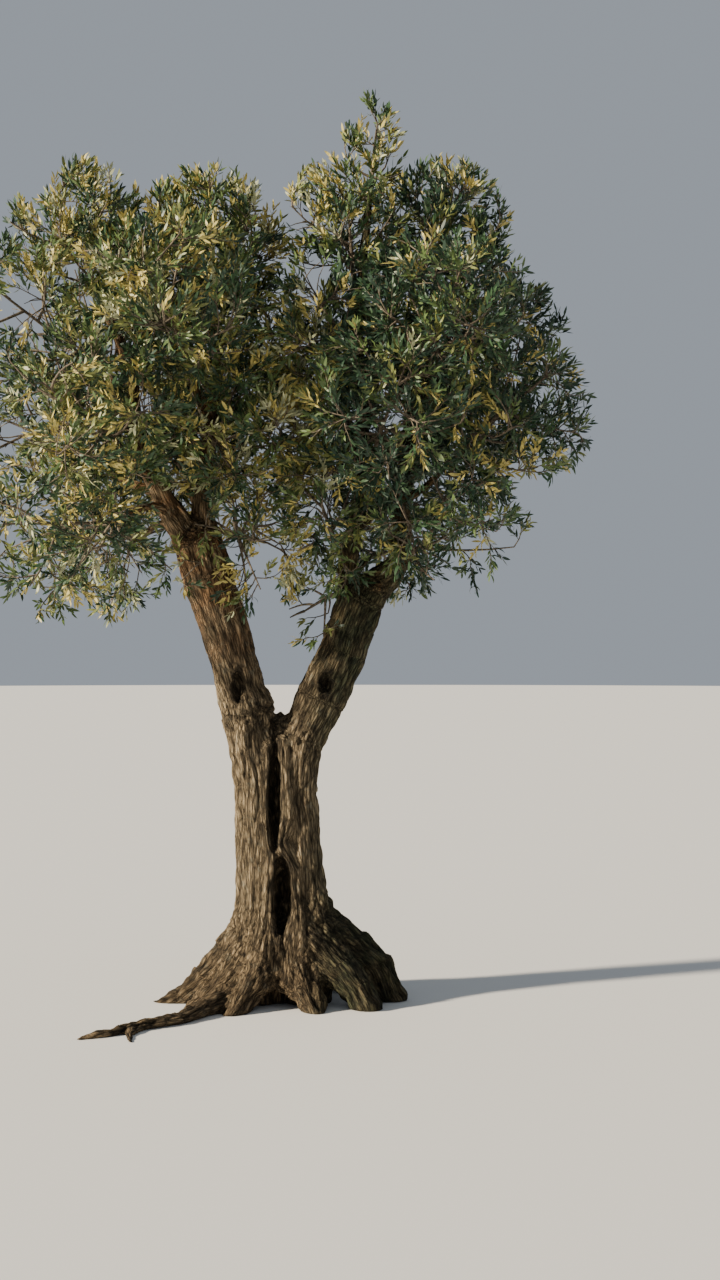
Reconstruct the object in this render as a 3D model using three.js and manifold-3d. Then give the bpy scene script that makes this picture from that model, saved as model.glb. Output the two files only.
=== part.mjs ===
// An old olive tree on level ground: a short, fluted trunk that is hollow in front and flares into
// surface roots, two limbs that part low down, the boughs that they carry, and a two-lobed crown.
// Millimetres, +Z up. The origin is on the flat cut under the trunk. +X is to the right as seen from
// the front, +Y points away from the viewer.

import * as THREE from "three";
import { mergeVertices } from "three/addons/utils/BufferGeometryUtils.js";
import Module from "manifold-3d";

const wasm = await Module();
wasm.setup();

// Driving dimensions
const FORK_HEIGHT = 1740;
const TRUNK_HALF_WIDTH = 150; // from the trunk's middle to the axis of either stem
const STEM_GIRTH = 118; // radius of each of the two stems that make up the trunk
const ROOT_REACH = 720; // how far the root flare spreads on either side
const ROOT_SINK = 0.85; // how deep a root's end lies in the ground, as a share of its girth
const CLEARANCE = 0.3; // between pieces that meet
const SEED = 7;

// Colours and finishes
const BARK = new THREE.MeshStandardMaterial({ color: 0x6b5742, roughness: 0.95, metalness: 0 });
const BOUGH_BARK = new THREE.MeshStandardMaterial({ color: 0x5a4936, roughness: 0.9, metalness: 0 });
const FOLIAGE = new THREE.MeshStandardMaterial({ color: 0x5d6b3a, roughness: 0.6, metalness: 0 });

// Thick wood. A chain is a list of rings [x, y, z, radius], joined by tapering rounded cones.
const LEFT_STEM = [
  [-TRUNK_HALF_WIDTH, -30, -60, 150],
  [-155, -30, 650, STEM_GIRTH],
  [-168, -30, 1300, STEM_GIRTH],
  [-216, -32, FORK_HEIGHT, 142],
];
const LEFT_LIMB = [
  [-216, -32, FORK_HEIGHT, 142],
  [-337, -45, 2180, 142],
  [-440, -60, 2520, 150],
  [-495, -60, 2720, 140],
];
const RIGHT_STEM = [
  [TRUNK_HALF_WIDTH, -30, -60, 150],
  [140, -30, 650, STEM_GIRTH],
  [95, -25, 1250, 108],
  [118, -15, 1570, 124],
];
const RIGHT_LIMB = [
  [118, -15, 1570, 124],
  [225, 0, 1810, 146],
  [350, 20, 2080, 142],
  [405, 40, 2240, 138],
  [460, 50, 2370, 136],
  [505, 58, 2450, 120],
];
const BACK_WALL = [
  [-5, 75, -60, 165],
  [-15, 75, 900, 150],
  [-20, 50, 1600, 118],
];
// The rounded lips on both sides of the hollow
const RIGHT_LIP = [
  [5, -112, 1560, 34],
  [22, -140, 1100, 42],
  [-2, -150, 960, 46],
  [62, -142, 800, 42],
  [84, -145, 560, 46],
  [64, -215, 140, 62],
];
const LEFT_LIP = [
  [-82, -112, 1520, 34],
  [-86, -140, 1080, 40],
  [-68, -146, 900, 42],
  [-78, -145, 640, 44],
  [-88, -200, 200, 60],
];

// Root flare. toward is the compass angle in degrees, 0 to the right and 90 away from the viewer.
// rise is the height at which the root leaves the trunk. A fall over 1 sags, and one under 1 has a knee.
const ROOTS = [
  { toward: 184, reach: 1.04, rise: 450, fall: 1.5, girth: 118, foot: 60 },
  { toward: 208, reach: 0.86, rise: 340, fall: 1.3, girth: 100, foot: 60 },
  { toward: 236, reach: 0.74, rise: 310, fall: 1.3, girth: 94, foot: 60 },
  { toward: 300, reach: 0.6, rise: 290, fall: 1.0, girth: 96, foot: 64 },
  { toward: 333, reach: 0.84, rise: 420, fall: 0.72, girth: 110, foot: 84 },
  { toward: 1, reach: 0.95, rise: 510, fall: 0.48, girth: 118, foot: 92 },
  { toward: 42, reach: 0.8, rise: 380, fall: 0.9, girth: 106, foot: 66 },
  { toward: 92, reach: 0.76, rise: 380, fall: 1.2, girth: 110, foot: 60 },
  { toward: 138, reach: 0.88, rise: 360, fall: 1.2, girth: 104, foot: 60 },
];
const ROOT_START = 150; // distance from the trunk's middle to where a root leaves it
const ROOT_STEPS = 5;

// The long root that lies on the ground in front on the left, and its side shoot
const SURFACE_ROOT = [
  [-300, -260, 60, 72],
  [-440, -420, 26, 58],
  [-560, -640, 14, 46],
  [-760, -800, 10, 38],
  [-900, -960, 6, 28],
  [-1060, -1060, -4, 16],
];
const SURFACE_ROOT_SHOOT = [
  [-760, -800, 8, 30],
  [-800, -960, 4, 22],
  [-770, -1120, -4, 12],
];

// Hollows, as ellipsoids: the two slots in the trunk's front and a knot hole in each limb
const HOLLOWS = [
  { at: [-42, -190, 1240], half: [40, 215, 320] },
  { at: [-2, -200, 655], half: [58, 235, 225] },
  { at: [-262, -170, 1880], half: [34, 60, 90] },
  { at: [262, -128, 1905], half: [42, 84, 60] },
];

const STEM_BLEND = 55; // how softly the stems run into each other
const ROOT_BLEND = 120; // how softly the roots run into the trunk
const HOLLOW_BLEND = 18; // how rounded a hollow's edge is
// Grid of the thick wood's surface: fine steps about the trunk, coarse ones out among the roots
const WOOD_GRID = {
  across: { fine: 56, coarse: 112, fineTo: 320, end: 980 },
  deep: { fine: 60, coarse: 112, fineTo: 230, end: 900 },
  up: { step: 124, low: -496, high: 2300, top: 2130 },
};
const BIG = 4000;

const radians = THREE.MathUtils.degToRad;
const lerp = THREE.MathUtils.lerp;
const clamp = THREE.MathUtils.clamp;

function vec(x, y, z) {
  return new THREE.Vector3(x, y, z);
}

// Seeded random numbers from 0 to 1
function randomFrom(seed) {
  let state = seed >>> 0;
  return () => {
    state = (Math.imul(state, 1664525) + 1013904223) >>> 0;
    return state / 4294967296;
  };
}

function distanceToChain(x, y, z, chain) {
  let nearest = Infinity;
  for (let i = 1; i < chain.length; i++) {
    const [ax, ay, az, ar] = chain[i - 1];
    const [bx, by, bz, br] = chain[i];
    const [dx, dy, dz] = [bx - ax, by - ay, bz - az];
    const along = ((x - ax) * dx + (y - ay) * dy + (z - az) * dz) / (dx * dx + dy * dy + dz * dz);
    const t = clamp(along, 0, 1);
    const gap = Math.hypot(x - ax - t * dx, y - ay - t * dy, z - az - t * dz) - lerp(ar, br, t);
    nearest = Math.min(nearest, gap);
  }
  return nearest;
}

function distanceToEllipsoid(x, y, z, { at, half }) {
  const reach = Math.hypot((x - at[0]) / half[0], (y - at[1]) / half[1], (z - at[2]) / half[2]);
  return (reach - 1) * Math.min(...half);
}

function smoothMin(a, b, blend) {
  const h = Math.max(blend - Math.abs(a - b), 0) / blend;
  return Math.min(a, b) - (h * h * blend) / 4;
}

function rootChain({ toward, reach, rise, fall, girth, foot }) {
  const angle = radians(toward);
  const end = reach * ROOT_REACH;
  return Array.from({ length: ROOT_STEPS }, (_, i) => {
    const u = i / (ROOT_STEPS - 1);
    const out = lerp(ROOT_START, end, u);
    const height = rise * (1 - u) ** fall - foot * ROOT_SINK * u;
    return [out * Math.cos(angle), out * Math.sin(angle), height, lerp(girth, foot, u)];
  });
}

const STEMS = [LEFT_STEM, RIGHT_STEM, BACK_WALL, LEFT_LIMB, RIGHT_LIMB, RIGHT_LIP, LEFT_LIP];
const FLARE = ROOTS.map(rootChain);

function distanceToWood(x, y, z) {
  let gap = Infinity;
  for (const chain of STEMS) gap = smoothMin(gap, distanceToChain(x, y, z, chain), STEM_BLEND);
  for (const chain of FLARE) gap = smoothMin(gap, distanceToChain(x, y, z, chain), ROOT_BLEND);
  for (const hollow of HOLLOWS) {
    gap = -smoothMin(-gap, distanceToEllipsoid(x, y, z, hollow), HOLLOW_BLEND);
  }
  return gap;
}

// The surface where distance(x, y, z) is zero, as a closed mesh of quads cut in two. A grid cell gets
// one vertex for each sheet of the surface that passes through it, at the mean of the crossings on its
// edges.
const CORNERS = [0, 1, 2, 3, 4, 5, 6, 7];
const AXES = [0, 1, 2];
const CELL_EDGES = AXES.flatMap((axis) =>
  CORNERS.filter((corner) => !((corner >> axis) & 1)).map((corner) => [corner, corner | (1 << axis), axis]),
);

// The crossed edges of a cell, in groups that belong to the same sheet
function sheetsOfCell(v) {
  const crossed = CELL_EDGES.filter(([a, b]) => v[a] < 0 !== v[b] < 0);
  const group = crossed.map((_, n) => n);
  const join = (m, n) => {
    const [from, to] = [group[m], group[n]];
    group.forEach((g, i) => (group[i] = g === from ? to : g));
  };
  for (const axis of AXES)
    for (const side of [0, 1]) {
      const onFace = crossed.flatMap(([a, b], n) =>
        ((a >> axis) & 1) === side && ((b >> axis) & 1) === side ? [n] : [],
      );
      const insideOf = ([a, b]) => (v[a] < 0 ? a : b);
      for (const m of onFace)
        for (const n of onFace)
          if (onFace.length === 2 || insideOf(crossed[m]) === insideOf(crossed[n])) join(m, n);
    }
  return [...new Set(group)].map((g) => crossed.filter((_, n) => group[n] === g));
}

function isoSurface(distance, lines) {
  const [nx, ny, nz] = lines.map((line) => line.length);
  const index = (i, j, k) => (k * ny + j) * nx + i;
  const value = new Float64Array(nx * ny * nz);
  for (let k = 0; k < nz; k++)
    for (let j = 0; j < ny; j++)
      for (let i = 0; i < nx; i++)
        value[index(i, j, k)] = distance(lines[0][i], lines[1][j], lines[2][k]);
  const bit = (corner, axis) => (corner >> axis) & 1;
  const edgeKey = (cellIndex, corner, axis) => (cellIndex * 8 + corner) * 3 + axis;
  const positions = [];
  const vertexOf = new Map();
  for (let k = 0; k < nz - 1; k++)
    for (let j = 0; j < ny - 1; j++)
      for (let i = 0; i < nx - 1; i++) {
        const v = CORNERS.map((c) => value[index(i + bit(c, 0), j + bit(c, 1), k + bit(c, 2))]);
        if (v.every((d) => d < 0) || v.every((d) => d >= 0)) continue;
        for (const sheet of sheetsOfCell(v)) {
          const sum = [0, 0, 0];
          for (const [a, b, axis] of sheet) {
            vertexOf.set(edgeKey(index(i, j, k), a, axis), positions.length / 3);
            const t = v[a] / (v[a] - v[b]);
            for (const n of AXES) sum[n] += lerp(bit(a, n), bit(b, n), t) / sheet.length;
          }
          [i, j, k].forEach((g, n) => positions.push(lerp(lines[n][g], lines[n][g + 1], sum[n])));
        }
      }
  const faces = [];
  const at = (n) => vec(...positions.slice(3 * n, 3 * n + 3));
  const addQuad = (a, b, c, d) => {
    const cutAC = at(a).distanceTo(at(c)) < at(b).distanceTo(at(d));
    faces.push(...(cutAC ? [a, b, c, a, c, d] : [b, c, d, b, d, a]));
  };
  const steps = [
    [1, 0, 0],
    [0, 1, 0],
    [0, 0, 1],
  ];
  for (let k = 1; k < nz - 1; k++)
    for (let j = 1; j < ny - 1; j++)
      for (let i = 1; i < nx - 1; i++)
        for (const axis of AXES) {
          const [u, w] = [(axis + 1) % 3, (axis + 2) % 3];
          const inside = value[index(i, j, k)] < 0;
          const next = [i, j, k].map((g, n) => g + steps[axis][n]);
          if (inside === value[index(...next)] < 0) continue;
          const vertexIn = (a, b) => {
            const home = [i, j, k].map((g, n) => g - a * steps[u][n] - b * steps[w][n]);
            return vertexOf.get(edgeKey(index(...home), (a << u) | (b << w), axis));
          };
          const around = [vertexIn(1, 1), vertexIn(0, 1), vertexIn(0, 0), vertexIn(1, 0)];
          addQuad(...(inside ? around : around.reverse()));
        }
  return solidFrom(positions, faces);
}

// A closed mesh as a solid that can be joined and cut
function solidFrom(positions, faces) {
  return new wasm.Manifold(
    new wasm.Mesh({
      numProp: 3,
      vertProperties: new Float32Array(positions),
      triVerts: new Uint32Array(faces),
    }),
  );
}

function solidFromGeometry(geometry) {
  const bare = geometry.clone();
  bare.deleteAttribute("normal");
  bare.deleteAttribute("uv");
  const merged = mergeVertices(bare, 1e-3);
  return solidFrom(merged.attributes.position.array, merged.index.array);
}

function geometryFrom(solid) {
  const mesh = solid.getMesh();
  const positions = new Float32Array(mesh.numVert * 3);
  for (let i = 0; i < mesh.numVert; i++)
    positions.set(mesh.vertProperties.subarray(i * mesh.numProp, i * mesh.numProp + 3), i * 3);
  const geometry = new THREE.BufferGeometry();
  geometry.setAttribute("position", new THREE.BufferAttribute(positions, 3));
  geometry.setIndex(new THREE.BufferAttribute(new Uint32Array(mesh.triVerts), 1));
  geometry.computeVertexNormals();
  return geometry;
}

// A box whose lower face has its middle at foot and whose height runs along direction
function boxAlong(foot, direction, width, depth, height) {
  const geometry = new THREE.BoxGeometry(width, depth, height).translate(0, 0, height / 2);
  const turn = new THREE.Quaternion().setFromUnitVectors(vec(0, 0, 1), direction.clone().normalize());
  return solidFromGeometry(geometry.applyQuaternion(turn).translate(foot.x, foot.y, foot.z));
}

// A limb with flat ends: one ring of corners round each point, as far out as radius(point, direction)
function ringedTube(points, radius, sides) {
  const positions = [];
  const faces = [];
  const last = points.length - 1;
  let across = null;
  points.forEach((point, i) => {
    const ahead = points[Math.min(i + 1, last)].clone().sub(points[Math.max(i - 1, 0)]).normalize();
    const seed = across ?? (Math.abs(ahead.z) > 0.8 ? vec(1, 0, 0) : vec(0, 0, 1));
    across = seed.clone().addScaledVector(ahead, -seed.dot(ahead)).normalize();
    const other = ahead.clone().cross(across);
    for (let s = 0; s < sides; s++) {
      const angle = (2 * Math.PI * s) / sides;
      const out = across.clone().multiplyScalar(Math.cos(angle)).addScaledVector(other, Math.sin(angle));
      const rim = point.clone().addScaledVector(out, radius(point, out, i));
      positions.push(rim.x, rim.y, rim.z);
    }
  });
  for (let i = 0; i < last; i++)
    for (let s = 0; s < sides; s++) {
      const [a, b] = [i * sides + s, i * sides + ((s + 1) % sides)];
      faces.push(a, b, b + sides, a, b + sides, a + sides);
    }
  for (let s = 1; s < sides - 1; s++) {
    faces.push(0, s + 1, s);
    faces.push(last * sides, last * sides + s, last * sides + s + 1);
  }
  return solidFrom(positions, faces);
}

function taperedTube(points, radii, sides) {
  return ringedTube(points, (point, out, i) => radii[i], sides);
}

// A chain of rings as a tube with the given number of rings on a smooth curve
function smoothChain(chain, rings) {
  const curve = new THREE.CatmullRomCurve3(chain.map(([x, y, z]) => vec(x, y, z)), false, "centripetal");
  return Array.from({ length: rings }, (_, i) => {
    const t = i / (rings - 1);
    const place = t * (chain.length - 1);
    const from = Math.min(Math.floor(place), chain.length - 2);
    const point = curve.getPoint(t);
    return [point.x, point.y, point.z, lerp(chain[from][3], chain[from + 1][3], place - from)];
  });
}

function tubeFrom(chain, sides, grow = 0) {
  return taperedTube(
    chain.map(([x, y, z]) => vec(x, y, z)),
    chain.map(([, , , r]) => r + grow),
    sides,
  );
}

// Trunk and limbs: one blended body of wood, sawn level at the ground and across each limb
const aboveGround = boxAlong(vec(0, 0, 0), vec(0, 0, 1), BIG, BIG, BIG);
const SAW = { width: 620, depth: 1400, height: 1500 };
const LEFT_CUT = { foot: vec(-262, -36, 1895), along: vec(-0.28, -0.03, 0.96) };
const RIGHT_CUT = { foot: vec(268, 5, 1900), along: vec(0.42, 0.07, 0.9) };
const LIMB_SIDES = 12;
const LIMB_RINGS = 9;
const LIMB_DOME = 0.75; // height of the dome at a limb's end, as a share of its radius

function sawBox({ foot, along }, lower) {
  const lowered = foot.clone().addScaledVector(along.clone().normalize(), -lower);
  return boxAlong(lowered, along, SAW.width, SAW.depth, SAW.height);
}

// Grid lines on both sides of zero
function spreadLines({ fine, coarse, fineTo, end }) {
  const half = [0];
  while (half.at(-1) < end) half.push(half.at(-1) + (half.at(-1) < fineTo ? fine : coarse));
  return [...half.slice(1).reverse().map((line) => -line), ...half];
}

function evenLines({ step, low, high }) {
  return Array.from({ length: Math.ceil((high - low) / step) + 1 }, (_, i) => low + i * step);
}

function trunkSolid() {
  const { across, deep, up } = WOOD_GRID;
  const distance = (x, y, z) => Math.max(distanceToWood(x, y, z), z - up.top);
  const flare = isoSurface(distance, [spreadLines(across), spreadLines(deep), evenLines(up)]);
  const runner = tubeFrom(smoothChain(SURFACE_ROOT, 7), 6);
  const shoot = tubeFrom(smoothChain(SURFACE_ROOT_SHOOT, 4), 5);
  return largestPiece(
    flare
      .subtract(sawBox(LEFT_CUT, CLEARANCE))
      .subtract(sawBox(RIGHT_CUT, CLEARANCE))
      .add(runner)
      .add(shoot)
      .intersect(aboveGround),
  );
}

// Distance from a point on a limb's axis to the wood's surface
function reachOfWood(from, direction) {
  let reach = 0;
  for (let step = 0; step < 40; step++) {
    const at = from.clone().addScaledVector(direction, reach);
    reach += -0.8 * distanceToWood(at.x, at.y, at.z);
  }
  return reach;
}

// A limb is ringed about its axis, with every corner of a ring on the surface of the wood. It ends in a
// dome past the last point of its axis.
function limbSolid(chain, cut) {
  const axis = smoothChain(chain, LIMB_RINGS).map(([x, y, z]) => vec(x, y, z));
  const below = axis[0].clone().sub(axis[1]).multiplyScalar(0.6);
  const dome = axis.at(-1).clone().sub(axis.at(-2)).setLength(chain.at(-1)[3] * LIMB_DOME);
  const points = [axis[0].clone().add(below), ...axis, axis.at(-1).clone().add(dome)];
  const radii = (point, direction, i) => reachOfWood(i === 0 ? points[1] : point, direction);
  return largestPiece(ringedTube(points, radii, LIMB_SIDES).intersect(sawBox(cut, 0)));
}

// The same body with every corner moved outwards
function grown(solid, by) {
  const geometry = geometryFrom(solid);
  const [at, normal] = [geometry.attributes.position, geometry.attributes.normal];
  const moved = Array.from({ length: at.count }, (_, i) =>
    vec().fromBufferAttribute(at, i).addScaledVector(vec().fromBufferAttribute(normal, i), by).toArray(),
  );
  return solidFrom(moved.flat(), geometry.index.array);
}

const trunk = trunkSolid();
const limbLeft = limbSolid(LEFT_LIMB, LEFT_CUT);
const limbRight = limbSolid(RIGHT_LIMB, RIGHT_CUT);
const thickSolids = [trunk, limbLeft, limbRight];

// Crown. Each lobe is a stack of tiers of foliage masses. A tier's masses stand on a ring about its
// own x, across and deep from its middle, and turn is the compass angle of the first. leaders are the
// two boughs that run on as the limb, and every other bough of the lobe springs from one of these.
const LEFT_LEADERS = [
  [
    [-490, -60, 2660, 100],
    [-700, -75, 3000, 70],
    [-870, -60, 3330, 56],
    [-930, -40, 3800, 46],
  ],
  [
    [-460, -50, 2640, 90],
    [-480, 20, 2990, 58],
    [-450, 100, 3420, 44],
    [-400, 90, 3800, 36],
  ],
];
const LEFT_TIERS = [
  { name: "skirt", x: -850, z: 2820, across: 660, deep: 720, count: 3, turn: 115, wide: 580, tall: 570 },
  { name: "waist", x: -930, z: 3420, across: 600, deep: 760, count: 4, turn: 165, wide: 620, tall: 560 },
  { name: "shoulder", x: -930, z: 4040, across: 600, deep: 740, count: 4, turn: 210, wide: 620, tall: 560 },
  { name: "crest", x: -830, z: 4545, across: 400, deep: 300, count: 2, turn: 195, wide: 480, tall: 480 },
];
const RIGHT_LEADERS = [
  [
    [480, 55, 2420, 96],
    [680, 75, 2600, 74],
    [712, 80, 2800, 58],
    [740, 60, 3300, 48],
    [830, 40, 3800, 40],
  ],
  [
    [450, 45, 2360, 70],
    [390, 20, 2570, 56],
    [430, 5, 2820, 44],
    [470, 0, 3300, 38],
    [460, 0, 3900, 32],
  ],
];
const RIGHT_TIERS = [
  { name: "skirt", x: 640, z: 2880, across: 400, deep: 700, count: 3, turn: -40, wide: 520, tall: 520 },
  { name: "waist", x: 840, z: 3480, across: 490, deep: 780, count: 4, turn: -25, wide: 550, tall: 540 },
  { name: "shoulder", x: 780, z: 3990, across: 480, deep: 740, count: 4, turn: 20, wide: 535, tall: 515 },
  { name: "crest", x: 690, z: 4620, across: 300, deep: 250, count: 2, turn: 15, wide: 425, tall: 470 },
];
const LOBES = [
  { name: "left", y: -40, leaders: LEFT_LEADERS, tiers: LEFT_TIERS },
  { name: "right", y: 30, leaders: RIGHT_LEADERS, tiers: RIGHT_TIERS },
];

// Two small masses of short foliage: the leading shoot at the top, and the spray that hangs between
// the limbs
const SPRAYS = [
  { name: "spire", at: [540, 10, 5020], wide: 240, tall: 450, blade: 0.42, leader: 1 },
  { name: "hanging_spray", at: [160, -60, 2350], wide: 250, tall: 260, blade: 0.42, leader: 1 },
];

function crownMasses() {
  const masses = [];
  for (const lobe of LOBES)
    for (const tier of lobe.tiers)
      for (let i = 0; i < tier.count; i++) {
        const angle = radians(tier.turn + (360 * i) / tier.count);
        masses.push({
          name: `${lobe.name}_${tier.name}_${i + 1}`,
          lobe,
          tier: tier.name,
          centre: vec(tier.x + tier.across * Math.cos(angle), lobe.y + tier.deep * Math.sin(angle), tier.z),
          half: vec(tier.wide, tier.wide, tier.tall),
          blade: BLADE.length,
        });
      }
  for (const { name, at, wide, tall, blade, leader } of SPRAYS)
    masses.push({
      name,
      leader,
      lobe: LOBES[1],
      tier: name,
      centre: vec(...at),
      half: vec(wide, wide, tall),
      blade: blade * BLADE.length,
    });
  return masses;
}

// Each blade of foliage stands for a spray of leaves, in the shape of one narrow olive leaf
const BLADE = { length: 450, width: 160, thick: 16, widest: 0.46 };

const MASSES = crownMasses();
const SPACE_MARGIN = 6; // foliage stays this far inside its own space

// A mass keeps to its ellipsoid, and to its own side of a plane between it and each other mass, which
// shares the way between them by their widths
function inSpace(mass, point) {
  const out = point.clone().sub(mass.centre);
  if (out.clone().divide(mass.half).length() > 1) return false;
  return MASSES.every((other) => {
    if (other === mass) return true;
    const away = other.centre.clone().sub(mass.centre);
    const share = mass.half.x / (mass.half.x + other.half.x);
    return out.dot(away) / away.length() < away.length() * share - SPACE_MARGIN;
  });
}

function reachInSpace(mass, from, direction) {
  const step = 15;
  let reach = 0;
  while (reach < 1500 && inSpace(mass, from.clone().addScaledVector(direction, reach + step))) reach += step;
  return reach;
}

// Boughs
const BOUGH_RINGS = 4;
const BOUGH_SIDES = 5;
const LEADER_RINGS = 7;
const BOUGH_GIRTH = { thick: 40, thin: 17 };
const START_GAP = 110; // least distance between the places where two boughs spring
const LEADER_MASSES = {
  left_crest_1: 0,
  left_crest_2: 1,
  right_crest_1: 0,
  right_crest_2: 1,
};

function chainPoint(chain, t) {
  const place = clamp(t, 0, 1) * (chain.length - 1);
  const from = Math.min(Math.floor(place), chain.length - 2);
  const mix = place - from;
  return vec(...[0, 1, 2].map((n) => lerp(chain[from][n], chain[from + 1][n], mix)));
}

// Where a bough enters its mass: on the line from its start, a little way inside the mass's space
function entryPoint(mass, start) {
  const back = start.clone().sub(mass.centre);
  const direction = back.clone().normalize();
  const reach = reachInSpace(mass, mass.centre, direction);
  return mass.centre.clone().addScaledVector(direction, Math.min(reach * 0.8, back.length() * 0.6));
}

function boughChain(start, end, lift, thick, thin) {
  const length = start.distanceTo(end);
  const middle = start.clone().lerp(end, 0.5).add(vec(0, 0, lift * length));
  const curve = new THREE.QuadraticBezierCurve3(start, middle, end);
  return Array.from({ length: BOUGH_RINGS }, (_, i) => {
    const t = i / (BOUGH_RINGS - 1);
    const point = curve.getPoint(t);
    return [point.x, point.y, point.z, lerp(thick, thin, t)];
  });
}

function addBoughs() {
  for (const lobe of LOBES) lobe.leaderChains = lobe.leaders.map((leader) => leader.slice());
  for (const mass of MASSES) {
    const which = LEADER_MASSES[mass.name];
    if (which === undefined) continue;
    const leader = mass.lobe.leaderChains[which];
    const tip = leader[leader.length - 1];
    const end = entryPoint(mass, vec(...tip));
    leader.push([end.x, end.y, end.z, 20]);
    const chain = smoothChain(leader, LEADER_RINGS);
    mass.lobe.leaderChains[which] = chain;
    mass.bough = chain;
  }
  const starts = [];
  for (const mass of MASSES) {
    if (mass.bough) continue;
    let best = null;
    for (const [number, chain] of mass.lobe.leaderChains.entries())
      for (let t = 0.12; t < 0.9 && number === (mass.leader ?? number); t += 0.04) {
        const start = chainPoint(chain, t);
        const flat = Math.hypot(start.x - mass.centre.x, start.y - mass.centre.y);
        const wanted = mass.centre.z - 0.55 * flat - 120;
        const crowding = starts.filter((used) => used.distanceTo(start) < START_GAP).length;
        const cost = start.distanceTo(mass.centre) + 2.2 * Math.abs(start.z - wanted) + 500 * crowding;
        if (!best || cost < best.cost) best = { cost, start, chain };
      }
    starts.push(best.start);
    const end = entryPoint(mass, best.start);
    const thick = clamp(BOUGH_GIRTH.thick * (best.start.distanceTo(end) / 700), 26, BOUGH_GIRTH.thick);
    const lift = mass.tier === "skirt" ? 0.2 : -0.12;
    mass.bough = boughChain(best.start, end, lift, thick, BOUGH_GIRTH.thin);
  }
}

addBoughs();

// Every bough gives way to the thick wood and to the boughs before it
function boughSolids() {
  const isLeader = (mass) => mass.name in LEADER_MASSES;
  const order = [...MASSES.filter(isLeader), ...MASSES.filter((mass) => !isLeader(mass))];
  const before = thickSolids.flatMap((solid) => [solid, grown(solid, CLEARANCE * 2)]);
  for (const mass of order) {
    const whole = tubeFrom(mass.bough, BOUGH_SIDES);
    mass.boughSolid = largestPiece(before.reduce((solid, other) => solid.subtract(other), whole));
    before.push(tubeFrom(mass.bough, BOUGH_SIDES, CLEARANCE * 1.5));
  }
}

// The body without loose scraps, also without those that only a sliver held on
function largestPiece(solid) {
  const largest = (pieces) => pieces.reduce((a, b) => (a.volume() > b.volume() ? a : b));
  return largest(solidFromGeometry(geometryFrom(largest(solid.decompose()))).decompose());
}

// Foliage
const TWIGS = 5;
const BLADES_EACH = 20;
const TWIG_GIRTH = { thick: 12, thin: 5 };
const PAIRS_AT = [0.8, 0.35];
const GOLDEN_ANGLE = 137.5;
const LIMB_MARGIN = 14;
const BLADE_GAP = 0.3; // least distance between two blades, as a share of a blade's width

// Whether a straight piece that is half(t) wide on either side keeps clear of all wood but its own bough
function clearOfWood(from, to, half, ownBough) {
  const steps = Math.ceil(from.distanceTo(to) / 22);
  for (let i = 1; i <= steps; i++) {
    const { x, y, z } = from.clone().lerp(to, i / steps);
    const gap = half(i / steps) + LIMB_MARGIN;
    if (distanceToWood(x, y, z) < gap + 20) return false;
    if (MASSES.some(({ bough }) => bough !== ownBough && distanceToChain(x, y, z, bough) < gap)) return false;
  }
  return true;
}

// The corners of a blade: its root, its tip, its two sides and the keel that gives it thickness
function bladeCorners(root, direction, across, length) {
  const scale = length / BLADE.length;
  const middle = root.clone().addScaledVector(direction, length * BLADE.widest);
  const half = (BLADE.width / 2) * scale;
  return [
    root,
    root.clone().addScaledVector(direction, length),
    middle.clone().addScaledVector(across, half),
    middle.clone().addScaledVector(across, -half),
    middle.clone().addScaledVector(direction.clone().cross(across), BLADE.thick * scale),
  ];
}

function bladeSolid(corners) {
  const positions = corners.flatMap((c) => [c.x, c.y, c.z]);
  const faces = [0, 4, 2, 0, 3, 4, 0, 2, 3, 1, 2, 4, 1, 4, 3, 1, 3, 2];
  const solid = solidFrom(positions, faces);
  return solid.volume() > 0 ? solid : solidFrom(positions, faces.slice().reverse());
}

// Blades and twigs as chains, for keeping the blades of a mass apart
function bladeChain([root, tip], share) {
  const middle = root.clone().lerp(tip, BLADE.widest);
  return [
    [root.x, root.y, root.z, 0],
    [middle.x, middle.y, middle.z, BLADE.width * BLADE_GAP * share],
    [tip.x, tip.y, tip.z, 0],
  ];
}

function bladeFits(mass, corners, others) {
  const [root, tip] = corners;
  const width = BLADE.width * (root.distanceTo(tip) / BLADE.length);
  const half = (t) => width * Math.min(t, 1 - t);
  if (!corners.every((corner) => inSpace(mass, corner))) return false;
  for (let t = 0.2; t <= 1; t += 0.1) {
    const { x, y, z } = root.clone().lerp(tip, t);
    if (others.some((chain) => distanceToChain(x, y, z, chain) < 2 * half(t) * BLADE_GAP)) return false;
  }
  return clearOfWood(root, tip, half, null);
}

function turnedFrom(axis, tilt, round) {
  const seed = Math.abs(axis.z) > 0.9 ? vec(1, 0, 0) : vec(0, 0, 1);
  const across = seed.clone().cross(axis).normalize().applyAxisAngle(axis, round);
  return axis.clone().multiplyScalar(Math.cos(tilt)).addScaledVector(across, Math.sin(tilt)).normalize();
}

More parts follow.
